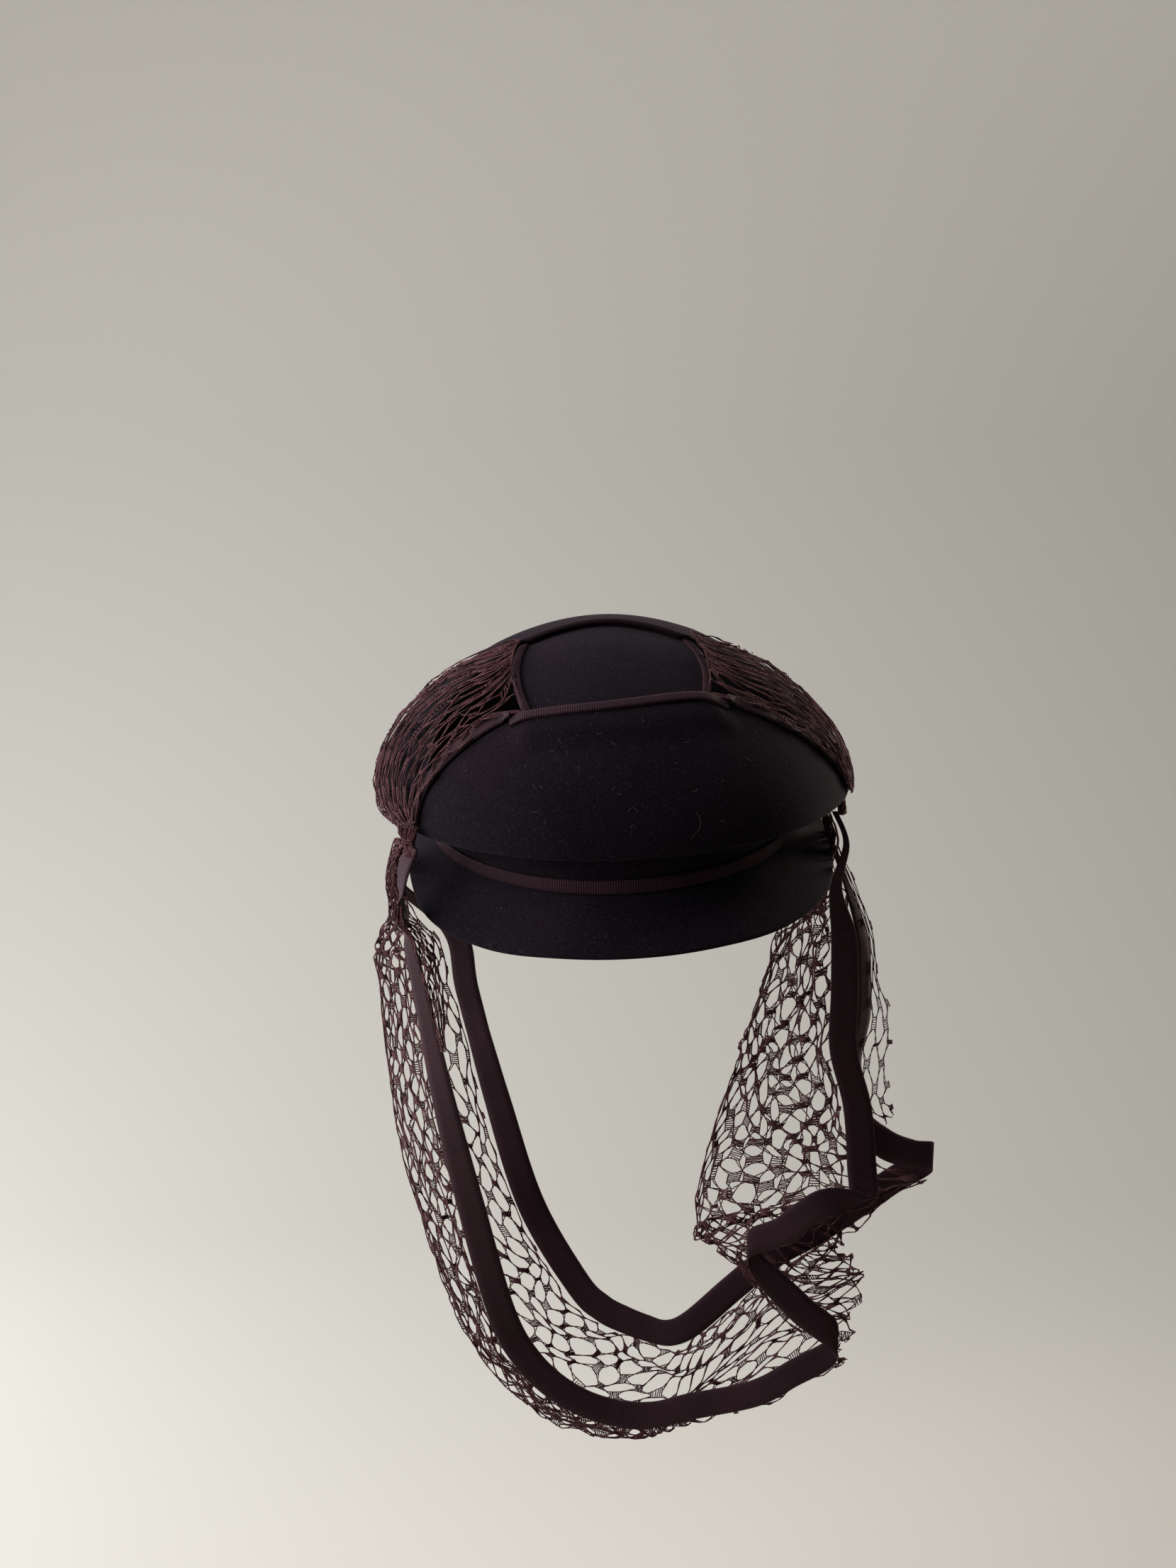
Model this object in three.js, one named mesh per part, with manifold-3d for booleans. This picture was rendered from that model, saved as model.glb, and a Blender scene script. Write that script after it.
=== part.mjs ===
// A small visored felt hat with a puffed crown, and its long net veil.
// Millimetres, +Z up. The origin is in the head opening, level with the foot of the band wall.
// The wearer looks along -Y and the wearer's left is +X. The hat is worn tilted, and the veil
// hangs straight down from it.

import * as THREE from 'three';
import openSolids from 'manifold-3d';

const solids = await openSolids();
solids.setup();

// Felt and trimming
const feltThickness = 2;
const ribbonThickness = 1;
const netThickness = 1;
const clearance = 0.35;

// Head opening and the band round it
const headHalfWidth = 84;
const headHalfDepth = 98;
const headSetBack = 7.5;
const baseHeight = 17;
const hatbandHeight = 6.2;

// Crown, a puffed cap wider than the head
const crownHalfWidth = 109.5;
const crownHalfDepth = 103;
const crownSetBack = 5;
const crownWidestLevel = 19;
const crownRise = 73.5;
const crownTuck = 12;
const crownRoundness = 1.7;
const crownLean = -0.03;

// Trims on the crown
const bindingWidth = 3.8;
const crescentLap = 2.6;
const ridgeRise = 2.5;
const ridgeRollWidth = 3;

// Brim
const brimWidth = 30;
const brimReach = 112;

// Veil
const veilRibbonWidth = 14.5;
const crownRibbonWidth = 8;
const veilDrop = 300;
const gatherWidth = 17;
const gatherHeight = 13;
const gatherDepth = 6;

// How it sits on the head, in degrees
const forwardTilt = 11;
const sideTilt = 3.3;

const radians = THREE.MathUtils.degToRad;
const vec = (x, y, z) => new THREE.Vector3(x, y, z);
const mix = (a, b, share) => a + (b - a) * share;
const smooth = (x) => THREE.MathUtils.smoothstep(x, 0, 1);

// Colours
const felt = { color: 0x1b1418, roughness: 0.95, metalness: 0 };
const petersham = { color: 0x38242a, roughness: 0.7, metalness: 0 };
const net = { color: 0x2c1c1d, roughness: 0.85, metalness: 0 };

const hat = new THREE.Group();
const worn = new THREE.Group();
worn.rotation.order = 'YXZ';
worn.rotation.x = radians(forwardTilt);
worn.rotation.y = -radians(sideTilt);
worn.updateMatrix();
hat.add(worn);

function add(group, name, finish, geometry) {
  const mesh = new THREE.Mesh(geometry, new THREE.MeshStandardMaterial(finish));
  mesh.name = name;
  group.add(mesh);
}

// Collects points and faces of one closed body
class Body {
  constructor() {
    this.points = [];
    this.faces = [];
  }

  point(p) {
    this.points.push(p.x, p.y, p.z);
    return this.points.length / 3 - 1;
  }

  quad(a, b, c, d) {
    this.faces.push(a, b, c, a, c, d);
  }

  geometry() {
    const shape = new THREE.BufferGeometry();
    shape.setAttribute('position', new THREE.Float32BufferAttribute(this.points, 3));
    shape.setIndex(outward(this.points, this.faces));
    shape.computeVertexNormals();
    return shape;
  }
}

// Turns every face over when the body was wound inside out
function outward(points, faces) {
  let volume = 0;
  const corner = (i) => vec(points[3 * i], points[3 * i + 1], points[3 * i + 2]);
  for (let i = 0; i < faces.length; i += 3) {
    volume += corner(faces[i]).dot(corner(faces[i + 1]).cross(corner(faces[i + 2])));
  }
  if (volume > 0) {
    return faces;
  }
  const turned = [];
  for (let i = 0; i < faces.length; i += 3) {
    turned.push(faces[i], faces[i + 2], faces[i + 1]);
  }
  return turned;
}

// A cloth wall: two layers of one grid, closed along its edges
function clothWall(along, across, layer, ring = false) {
  const body = new Body();
  const columns = ring ? along : along + 1;
  const grid = [0, 1].map((side) => {
    const rows = [];
    for (let i = 0; i < columns; i++) {
      const row = [];
      for (let j = 0; j <= across; j++) {
        row.push(body.point(layer(i / along, j / across, side)));
      }
      rows.push(row);
    }
    return rows;
  });
  for (let i = 0; i < along; i++) {
    const k = (i + 1) % columns;
    for (let j = 0; j < across; j++) {
      body.quad(grid[1][i][j], grid[1][k][j], grid[1][k][j + 1], grid[1][i][j + 1]);
      body.quad(grid[0][i][j], grid[0][i][j + 1], grid[0][k][j + 1], grid[0][k][j]);
    }
    body.quad(grid[0][i][0], grid[0][k][0], grid[1][k][0], grid[1][i][0]);
    body.quad(grid[0][k][across], grid[0][i][across], grid[1][i][across], grid[1][k][across]);
  }
  if (!ring) {
    for (let j = 0; j < across; j++) {
      body.quad(grid[0][0][j + 1], grid[0][0][j], grid[1][0][j], grid[1][0][j + 1]);
      const end = [grid[0][along], grid[1][along]];
      body.quad(end[0][j], end[0][j + 1], end[1][j + 1], end[1][j]);
    }
  }
  return body.geometry();
}

// A smooth curve through rows of numbers, read at a share of its length
function through(rows) {
  return (share) => {
    const place = Math.min(Math.max(share, 0), 1) * (rows.length - 1);
    const i = Math.min(Math.floor(place), rows.length - 2);
    const part = place - i;
    const row = (k) => rows[Math.min(Math.max(k, 0), rows.length - 1)];
    return rows[0].map((_, c) => {
      const [a, b, d, e] = [row(i - 1)[c], row(i)[c], row(i + 1)[c], row(i + 2)[c]];
      const steep = [(d - a) / 2, (e - b) / 2];
      const cube = part * part * (3 - 2 * part);
      return (
        mix(b, d, cube) +
        steep[0] * part * (1 - part) * (1 - part) -
        steep[1] * part * part * (1 - part)
      );
    });
  };
}

// Head opening: an oval, grown outward by the layers round it
function onOval(turn, grown, z) {
  const angle = radians(turn);
  return vec(
    (headHalfWidth + grown) * Math.cos(angle),
    headSetBack + (headHalfDepth + grown) * Math.sin(angle),
    z,
  );
}

// The crown is charted in degrees from its top: 90 from the top is its widest level, and the
// underside lies beyond. across grows to +X and back to +Y.
function onCrown(across, back, lift) {
  const fromTop = Math.hypot(across, back);
  const turn = Math.atan2(back, across);
  const rise = radians(90 - fromTop);
  const spread = Math.pow(Math.abs(Math.cos(rise)), 2 / crownRoundness);
  const level = Math.pow(Math.abs(Math.sin(rise)), 2 / crownRoundness);
  const x = spread * Math.cos(turn);
  const y = spread * Math.sin(turn);
  const height = rise > 0 ? crownRise : -crownTuck;
  const away = vec(
    Math.pow(spread + 1e-6, crownRoundness - 2) * (x / crownHalfWidth),
    Math.pow(spread + 1e-6, crownRoundness - 2) * (y / crownHalfDepth),
    Math.pow(level, crownRoundness - 1) / height,
  ).normalize();
  const p = vec(
    crownHalfWidth * x,
    crownSetBack + crownHalfDepth * y,
    crownWidestLevel + height * level,
  );
  p.z += crownLean * p.x * Math.min(Math.max(p.z / crownWidestLevel, 0), 1);
  return p.addScaledVector(away, lift);
}

// Where the crown's underside meets the band wall, in the chart
function tuckEdge(turn) {
  const angle = radians(turn);
  const grown = feltThickness + clearance;
  const wide = (crownHalfWidth * Math.cos(angle)) / (headHalfWidth + grown);
  const deep = (crownHalfDepth * Math.sin(angle)) / (headHalfDepth + grown);
  const off = (crownSetBack - headSetBack) / (headHalfDepth + grown);
  const a = wide * wide + deep * deep;
  const b = 2 * deep * off;
  const c = off * off - 1;
  const spread = Math.min((-b + Math.sqrt(b * b - 4 * a * c)) / (2 * a), 1);
  const under = THREE.MathUtils.radToDeg(Math.acos(Math.pow(spread, crownRoundness / 2)));
  const fromTop = 90 + under;
  return [fromTop * Math.cos(angle), fromTop * Math.sin(angle)];
}

// Edges on the crown, in the chart's degrees, from the wearer's right to the left
const crescentEdge = through([
  // across, back
  [-80, -56],
  [-71, -49],
  [-62, -43.5],
  [-52, -40],
  [-41, -37.8],
  [-32, -36.8],
  [-24, -37.8],
  [-15, -39.5],
  [-5, -40.3],
  [5, -39.3],
  [14, -36.9],
  [22, -34.4],
  [31, -34],
  [43, -33],
  [54, -31.5],
  [65, -30.3],
  [76, -29.8],
  [87, -33],
]);
const backEdge = through([
  // across, back
  [-79, -54],
  [-70, -47.2],
  [-61.5, -41.5],
  [-56, -33],
  [-51, -23],
  [-44, -12.5],
  [-34, -5.6],
  [-24, -2.6],
  [-15, -0.5],
  [-5, 0.4],
  [5, -0.4],
  [14, -2.4],
  [22, -5.6],
  [31, -9.6],
  [41, -15],
  [49, -21.5],
  [57, -28],
  [66, -28.8],
  [76, -28.2],
  [87, -31.2],
]);
// Shares of those edges that the panel, the bindings and the ridge take up
const panelFront = { from: 0.35, to: 0.655 };
const panelBack = { from: 0.372, to: 0.628 };
const panelSide = { from: 0.115, to: 0.815 };
const crescentBound = { from: 0.318, to: 0.69 };
const ridgeBound = { from: 0.366, to: 0.634 };
const cornerTurn = { right: -145, left: -21 };

// How far a felt edge is raised over the panel: full along it, gone past its ends. The fades are
// shares of the edge and of the way down from it.
const raiseFade = 0.06;
const raiseFrom = 0.1;
const crescentRaiseDepth = 0.16;
const ridgeRaiseDepth = 0.25;
function raised(share, span, down, depth) {
  const past = Math.max(span.from - share, share - span.to, 0);
  return (1 - smooth(past / raiseFade)) * (1 - smooth((down - raiseFrom) / depth));
}

// A column of the crown runs from its top edge to the widest level, then on under it
const widestRow = 0.75;
const edgeCrowding = 1.35;
function downColumn(top, turn, level) {
  const widest = [90 * Math.cos(radians(turn)), 90 * Math.sin(radians(turn))];
  if (level <= widestRow) {
    const down = Math.pow(level / widestRow, edgeCrowding);
    return { at: [0, 1].map((c) => mix(top[c], widest[c], down)), down };
  }
  const under = tuckEdge(turn);
  const part = (level - widestRow) / (1 - widestRow);
  return { at: [0, 1].map((c) => mix(widest[c], under[c], part)), down: 1 };
}

// Crescent front of the crown
function crescentPoint(share, level, lift) {
  const turn = mix(cornerTurn.right, cornerTurn.left, share);
  const { at, down } = downColumn(crescentEdge(share), turn, level);
  const over = crescentLap * raised(share, panelFront, down, crescentRaiseDepth);
  return onCrown(at[0], at[1], over + lift);
}
add(worn, 'front_crescent', felt, clothWall(30, 8, (share, down, side) => (
  crescentPoint(share, down, side * feltThickness)
)));

// Back of the crown, which rises in a ridge over the panel
const seamTurn = 0.6;
function backPoint(share, level, lift) {
  const turn = mix(cornerTurn.right - seamTurn, cornerTurn.left + seamTurn - 360, share);
  const { at, down } = downColumn(backEdge(share), turn, level);
  const over = ridgeRise * raised(share, panelBack, down, ridgeRaiseDepth);
  return onCrown(at[0], at[1], over + lift);
}
add(worn, 'back_crown', felt, clothWall(36, 8, (share, down, side) => (
  backPoint(share, down, side * feltThickness)
)));

// Panel between them, tucked under both
const panelLap = 3.2;
const panelBulge = 3.4;
function panelPoint(share, back, lift) {
  const front = crescentEdge(mix(panelFront.from, panelFront.to, share));
  const rear = backEdge(mix(panelBack.from, panelBack.to, share));
  const bulge = (2 * share - 1) * panelBulge * Math.sin(Math.PI * back);
  const across = mix(front[0], rear[0], back) + bulge;
  return onCrown(across, mix(front[1] - panelLap, rear[1] + panelLap, back), lift);
}
add(worn, 'centre_panel', felt, clothWall(8, 10, (share, back, side) => (
  panelPoint(share, back, side * feltThickness)
)));

// Sweeps a small closed outline along frames {at, across, out}
function sweep(steps, frame, outline, ring = false) {
  const body = new Body();
  const count = ring ? steps : steps + 1;
  const loops = [];
  for (let i = 0; i < count; i++) {
    const { at, across, out } = frame(i / steps);
    const section = typeof outline === 'function' ? outline(i / steps) : outline;
    loops.push(section.map(([a, o]) => (
      body.point(at.clone().addScaledVector(across, a).addScaledVector(out, o))
    )));
  }
  const size = loops[0].length;
  for (let i = 0; i < steps; i++) {
    const [here, next] = [loops[i], loops[(i + 1) % count]];
    for (let k = 0; k < size; k++) {
      const m = (k + 1) % size;
      body.quad(here[k], here[m], next[m], next[k]);
    }
  }
  if (!ring) {
    for (let k = 1; k < size - 1; k++) {
      body.faces.push(loops[0][0], loops[0][k + 1], loops[0][k]);
      body.faces.push(loops[count - 1][0], loops[count - 1][k], loops[count - 1][k + 1]);
    }
  }
  return body.geometry();
}

const flat = (from, to, under, over) => [[from, under], [to, under], [to, over], [from, over]];

// Frame of a strip that lies on a surface(share, lift); across points to the strip's left
function lying(surface) {
  const step = 1e-3;
  return (share) => {
    const at = surface(share, 0);
    const out = surface(share, 1).sub(at).normalize();
    const along = surface(Math.min(share + step, 1), 0).sub(surface(Math.max(share - step, 0), 0));
    const across = out.clone().cross(along).normalize();
    return { at, across, out };
  };
}

// Petersham bindings of the crescent and the panel
const onFelt = feltThickness + clearance;
const bindingProud = 0.6;
const bound = flat(-bindingWidth, bindingProud, onFelt, onFelt + ribbonThickness);
add(worn, 'crescent_binding', petersham, sweep(20, lying((share, lift) => (
  crescentPoint(mix(crescentBound.from, crescentBound.to, share), 0, lift)
)), bound));
for (const [name, side] of [['right', 0], ['left', 1]]) {
  const inner = bindingWidth - bindingProud;
  const reach = side ? [-bindingProud, inner] : [-inner, bindingProud];
  const section = flat(reach[0], reach[1], onFelt, onFelt + ribbonThickness);
  add(worn, `panel_binding_${name}`, petersham, sweep(10, lying((share, lift) => (
    panelPoint(side, mix(panelSide.from, panelSide.to, share), lift)
  )), section));
}

// Rolled petersham along the ridge
const rollSides = 5;
const rollProud = 0.8;
const rollTop = ridgeRise + feltThickness + rollProud;
const roll = [];
for (let k = 0; k <= rollSides; k++) {
  const angle = Math.PI * (k / rollSides - 0.5);
  roll.push([
    clearance + ridgeRollWidth * Math.cos(angle),
    mix(onFelt, rollTop, 0.5 + 0.5 * Math.sin(angle)),
  ]);
}
add(worn, 'ridge_roll', petersham, sweep(18, lying((share, lift) => {
  const edge = backEdge(mix(ridgeBound.from, ridgeBound.to, share));
  return onCrown(edge[0], edge[1], lift);
}), roll.map(([a, o]) => [-a, o])));

// Band wall round the head, with its petersham
add(worn, 'crown_base', felt, clothWall(48, 1, (share, up, side) => (
  onOval(360 * share, side * feltThickness, baseHeight * up)
), true));
add(worn, 'hatband', petersham, clothWall(48, 1, (share, up, side) => (
  onOval(360 * share, onFelt + side * ribbonThickness, mix(clearance, hatbandHeight, up))
), true));

// Brim: turns down all round the front and runs out at the sides
const brimShape = through([
  // width as a share of the brim's, slope in degrees, at even turns from the front
  [1, 45],
  [1.02, 44],
  [1.06, 42],
  [0.97, 38],
  [0.61, 30],
  [0.32, 18],
  [0.06, 10],
]);
function brimPoint(share, out, side) {
  const turn = -90 + brimReach * (2 * share - 1);
  const [width, slope] = brimShape(Math.abs(2 * share - 1));
  const angle = radians(slope);
  const bend = smooth(out / 0.35);
  const reach = brimWidth * width * out;
  const root = onOval(turn, onFelt, 0);
  const away = onOval(turn, onFelt + 1, 0).sub(root).normalize();
  const drop = Math.sin(angle) * reach * mix(0.75, 1, bend);
  const p = root.addScaledVector(away, Math.cos(angle) * reach);
  p.z -= drop;
  p.addScaledVector(away, -Math.sin(angle) * feltThickness * (1 - side) * smooth(out * 4));
  p.z -= feltThickness * (1 - side) * mix(1, Math.cos(angle), smooth(out * 4));
  return p;
}
add(worn, 'brim', felt, clothWall(40, 4, brimPoint));

// Net on the crown's sides: pulled from the panel's side down to a gathered corner.
// Each table runs from the panel to the corner: across, back.
const netBack = {
  right: through([[-28, -7], [-38, 5], [-53, 13], [-68, 12], [-80, 1], [-87, -22], [-85, -46]]),
  left: through([[26.5, -10], [36, 3], [51, 12], [66, 12], [80, 2], [88, -10], [89, -24]]),
};
const overFelt = feltThickness + 2 * clearance;

function latticeCells(along, across) {
  const cells = [];
  for (let row = 0; row < across; row++) {
    const shift = row % 2 ? 0.5 : 0;
    for (let k = shift ? -1 : 0; k < along; k++) {
      const from = Math.max(k + shift, 0);
      const to = Math.min(k + 1 + shift, along);
      const middle = to - from > 0.9 ? [(from + to) / 2] : [];
      const low = [from, ...middle, to].map((i) => [i, row]);
      const high = [to, ...middle, from].map((i) => [i, row + 1]);
      cells.push([...low, ...high]);
    }
  }
  return cells;
}

// A net wall: a brick lattice pulled into six-sided holes, laid on a surface(i, j, side)
const holeShare = 0.66;
const hexagonPull = 0.13;
function netWall(along, across, surface) {
  const body = new Body();
  const known = new Map();
  const edges = new Map();
  const placed = ([i, j]) => {
    const inner = j > 0 && j < across;
    const rowBelow = (j - 1) % 2 ? 0.5 : 0;
    const wallBelow = Math.abs((i - rowBelow) % 1) < 0.01;
    return [i / along, (j + (inner ? (wallBelow ? -hexagonPull : hexagonPull) : 0)) / across];
  };
  const corner = (ij) => {
    const key = ij.join();
    if (!known.has(key)) {
      const [i, j] = placed(ij);
      known.set(key, [0, 1].map((side) => body.point(surface(i, j, side))));
    }
    return known.get(key);
  };
  for (const cell of latticeCells(along, across)) {
    const size = cell.length;
    const outer = cell.map(corner);
    const flatCell = cell.map(placed);
    const middle = [0, 1].map((c) => flatCell.reduce((sum, p) => sum + p[c], 0) / size);
    const inner = flatCell.map((p) => [0, 1].map((side) => body.point(surface(
      mix(middle[0], p[0], holeShare),
      mix(middle[1], p[1], holeShare),
      side,
    ))));
    for (let k = 0; k < size; k++) {
      const m = (k + 1) % size;
      body.quad(outer[k][1], outer[m][1], inner[m][1], inner[k][1]);
      body.quad(outer[k][0], inner[k][0], inner[m][0], outer[m][0]);
      body.quad(inner[k][1], inner[m][1], inner[m][0], inner[k][0]);
      const key = [cell[k].join(), cell[m].join()];
      const back = `${key[1]} ${key[0]}`;
      if (edges.has(back)) {
        edges.delete(back);
      } else {
        edges.set(key.join(' '), [outer[k], outer[m]]);
      }
    }
  }
  for (const [a, b] of edges.values()) {
    body.quad(a[0], b[0], b[1], a[1]);
  }
  return body.geometry();
}

// A ribbon lies on the crescent's edge from past the binding to near the corner, and narrows
// towards it. The net starts beside it. The spans are shares of the edge and of the ribbon.
const ribbonSpan = {
  right: { from: crescentBound.from - 0.012, to: 0.06 },
  left: { from: crescentBound.to + 0.012, to: 0.96 },
};
const netSpan = { from: 0.02, to: 0.96 };
const ribbonInset = 0.3;
const ribbonPinch = 0.55;
const besideCrownRibbon = 6.2;
const ridgeEnd = 0.4;
for (const [name, side] of [['right', 0], ['left', 1]]) {
  const edgeAt = (share) => crescentEdge(mix(ribbonSpan[name].from, ribbonSpan[name].to, share));
  const surface = (share, lift) => {
    const [across, back] = edgeAt(share);
    return onCrown(across, back, overFelt + lift);
  };
  const outer = ribbonInset + crownRibbonWidth;
  const reach = side ? [ribbonInset, outer] : [-outer, -ribbonInset];
  const taper = (share) => {
    const keep = mix(1, ribbonPinch, smooth(share));
    return flat(reach[0] * keep, reach[1] * keep, 0, ribbonThickness);
  };
  add(worn, `crown_ribbon_${name}`, petersham, sweep(16, lying(surface), taper));
  add(worn, `crown_net_${name}`, net, netWall(5, 3, (i, j, layer) => {
    const [across, back] = edgeAt(mix(netSpan.from, netSpan.to, i));
    const far = netBack[name](i);
    const past = besideCrownRibbon / Math.hypot(far[0] - across, far[1] - back);
    const share = mix(Math.min(past, 0.8), 1, j);
    const over = ridgeRise * (1 - smooth(i / ridgeEnd));
    const lift = overFelt + over + layer * netThickness;
    return onCrown(mix(across, far[0], share), mix(back, far[1], share), lift);
  }));
}

// Gathers: the nets bunched at the crown's corners, in the upright frame the veil hangs in
const gatherFromTop = 94;
const gatherPleats = 7;
const gatherNeck = 0.6;
const pleatDepth = 0.74;
const gatherRoom = 7 * clearance;
function gatherPlace(turn) {
  const [across, back] = [Math.cos, Math.sin].map((way) => gatherFromTop * way(radians(turn)));
  const at = onCrown(across, back, overFelt + netThickness + gatherRoom + gatherDepth / 2);
  at.z += gatherHeight / 3;
  const out = onCrown(across, back, 1).sub(onCrown(across, back, 0)).setZ(0).normalize();
  return { at: at.applyMatrix4(worn.matrix), out, across: vec(-out.y, out.x, 0) };
}
function gatherOutline(share) {
  const swell = mix(gatherNeck, 1, smooth(share * 2));
  const ring = [];
  for (let k = 0; k < 2 * gatherPleats; k++) {
    const angle = (Math.PI * k) / gatherPleats;
    const reach = 0.5 * swell * (k % 2 ? pleatDepth : 1);
    ring.push([gatherWidth * reach * Math.cos(angle), gatherDepth * reach * Math.sin(angle)]);
  }
  return ring;
}
const gathers = { right: gatherPlace(cornerTurn.right), left: gatherPlace(cornerTurn.left) };
for (const [name, { at, out, across }] of Object.entries(gathers)) {
  add(hat, `gather_${name}`, net, sweep(4, (share) => (
    { at: at.clone().setZ(at.z + gatherHeight * (0.5 - share)), across, out }
  ), gatherOutline));
}

// Veil. Each row is a section through the hanging net: its front ribbon, its fold at the back
// and its rear ribbon, measured from the place it hangs from. x and y are shares of the crown's
// half width and half depth, down is a share of the veil's drop, and lean is the angle of the
// ribbon's width above the level, in degrees.
const veilStart = clearance + ribbonThickness / 2;
const hangs = {
  right: gathers.right.at.clone().setZ(gathers.right.at.z - gatherHeight / 2 - veilStart),
  left: gathers.left.at.clone().setZ(gathers.left.at.z - gatherHeight / 2 - veilStart),
};
hangs.middle = hangs.right.clone().lerp(hangs.left, 0.5);
const rightFall = [
  // x, y, down, lean, width | x, y, down | x, y, down, lean, width
  [0, -0.045, 0, -8, 0.5, -0.07, 0.06, 0.004, 0, 0.012, 0, -4, 0.42],
  [-0.034, 0.032, 0.028, -25, 1, -0.146, 0.392, 0.039, -0.108, 0.333, 0.007, -10, 0.6],
  [-0.065, 0.052, 0.083, 4, 1, -0.183, 0.663, 0.122, -0.091, 0.586, 0.079, -8, 0.7],
  [-0.022, 0.1, 0.145, 18, 0.9, -0.181, 0.955, 0.21, 0.095, 0.916, 0.182, 8, 0.9],
  [0.022, 0.178, 0.224, 13, 0.9, -0.167, 1.178, 0.304, 0.228, 1.11, 0.299, 12, 1],
  [0.106, 0.421, 0.405, 12, 1, -0.128, 1.362, 0.479, 0.365, 1.294, 0.504, 20, 1],
  [0.221, 0.751, 0.616, 16, 1, -0.029, 1.401, 0.668, 0.524, 1.362, 0.699, 34, 1],
  [0.372, 1.071, 0.854, 28, 1, 0.2, 1.43, 0.907, 0.747, 1.382, 0.847, 52, 1],
];
const napeFall = [
  [-0.418, 1.051, 0.975, 46, 1, -0.538, 1.303, 1.022, -0.062, 1.245, 0.907, 64, 1],
  [-0.235, 1.09, 1.042, 66, 1, -0.299, 1.303, 1.104, 0.045, 1.226, 0.927, 76, 1],
  [-0.031, 1.109, 1.078, 82, 1, -0.026, 1.284, 1.133, 0.153, 1.206, 0.941, 88, 1],
  [0.164, 1.09, 1.083, 94, 1, 0.212, 1.245, 1.12, 0.252, 1.167, 0.945, 104, 1],
];
const leftFall = [
  [-0.578, 0.924, 1.08, 104, 1, -0.526, 1.089, 1.074, -0.567, 1.011, 0.941, 124, 1],
  [-0.295, 0.836, 1.048, 112, 1, -0.312, 1.031, 0.99, -0.384, 0.963, 0.875, 126, 1],
  [-0.124, 0.768, 1.005, 108, 1, -0.08, 0.992, 0.923, -0.19, 0.914, 0.809, 122, 1],
  [0.082, 0.71, 0.945, 90, 1.05, 0.207, 0.856, 0.844, -0.015, 0.875, 0.768, 118, 1],
  [-0.117, 0.623, 0.865, 48, 1, -0.106, 0.836, 0.826, 0.145, 0.836, 0.725, 116, 1],
  [-0.365, 0.535, 0.753, 90, 0.9, -0.512, 0.807, 0.735, 0.355, 0.788, 0.666, 108, 1],
  [-0.213, 0.448, 0.709, 118, 1, -0.564, 0.817, 0.762, 0.514, 0.71, 0.621, 90, 1],
  [-0.053, 0.37, 0.657, 116, 1, -0.562, 0.836, 0.739, 0.4, 0.642, 0.606, 74, 1],
  [0.127, 0.409, 0.658, 12, 1.05, -0.566, 0.807, 0.68, 0.268, 0.565, 0.575, 60, 1],
  [0.133, 0.458, 0.599, 2, 1, -0.522, 0.739, 0.589, 0.17, 0.506, 0.51, 30, 1],
  [0.091, 0.409, 0.497, 0, 1, -0.437, 0.652, 0.474, 0.122, 0.438, 0.429, 10, 0.8],
  [0.021, 0.302, 0.392, 0, 1, -0.376, 0.565, 0.387, 0.126, 0.37, 0.352, 0, 0.8],
  [0.007, 0.205, 0.291, 0, 1, -0.327, 0.487, 0.305, 0.115, 0.293, 0.276, -6, 0.8],
  [-0.014, 0.108, 0.192, 0, 0.9, -0.225, 0.467, 0.203, 0.071, 0.205, 0.195, -12, 0.8],
  [-0.038, 0.021, 0.117, -2, 0.45, 0.024, 0.565, 0.157, 0.031, 0.137, 0.111, -20, 0.7],
  [-0.033, -0.057, 0.047, -6, 0.42, -0.002, 0.312, 0.076, 0.017, 0.04, 0.045, -10, 0.6],
  [0, -0.045, 0, 0, 0.45, -0.07, 0.06, 0.004, 0, 0.012, 0, 0, 0.42],
];

function hung(from, rows) {
  const placed = (x, y, down) => [
    from.x + x * crownHalfWidth,
    from.y + y * crownHalfDepth,
    from.z - down * veilDrop,
  ];
  return rows.map((r) => [
    ...placed(r[0], r[1], r[2]), r[3], r[4],
    ...placed(r[5], r[6], r[7]),
    ...placed(r[8], r[9], r[10]), r[11], r[12],
  ]);
}
const veilRows = [
  ...hung(hangs.right, rightFall),
  ...hung(hangs.middle, napeFall),
  ...hung(hangs.left, leftFall),
];
const veilSection = through(veilRows);
const veilSteps = veilRows.length - 1;

// A ribbon of the veil: 0 is the front one, 8 the rear one, after their first columns
const ribbonColumn = { front: 0, back: 8 };
const leaning = (lean) => vec(Math.cos(radians(lean)), 0, Math.sin(radians(lean)));
function ribbonFrame(column) {
  return (share) => {
    const here = veilSection(share);
    const step = 0.25 / veilSteps;
    const before = veilSection(share - step);
    const after = veilSection(share + step);
    const at = vec(here[column], here[column + 1], here[column + 2]);
    const along = vec(...[0, 1, 2].map((c) => after[column + c] - before[column + c]));
    const across = leaning(here[column + 3]);
    const out = along.cross(across).normalize();
    return { at, across, out, width: here[column + 4] };
  };
}
function veilRibbon(column, spare) {
  const frame = ribbonFrame(column);
  return sweep(3 * veilSteps, frame, (share) => {
    const half = (veilRibbonWidth * frame(share).width) / 2 + spare;
    return flat(-half, half, -ribbonThickness / 2 - spare, ribbonThickness / 2 + spare);
  });
}
for (const [name, column] of Object.entries(ribbonColumn)) {
  add(hat, `veil_ribbon_${name}`, petersham, veilRibbon(column, 0));
}

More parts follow.
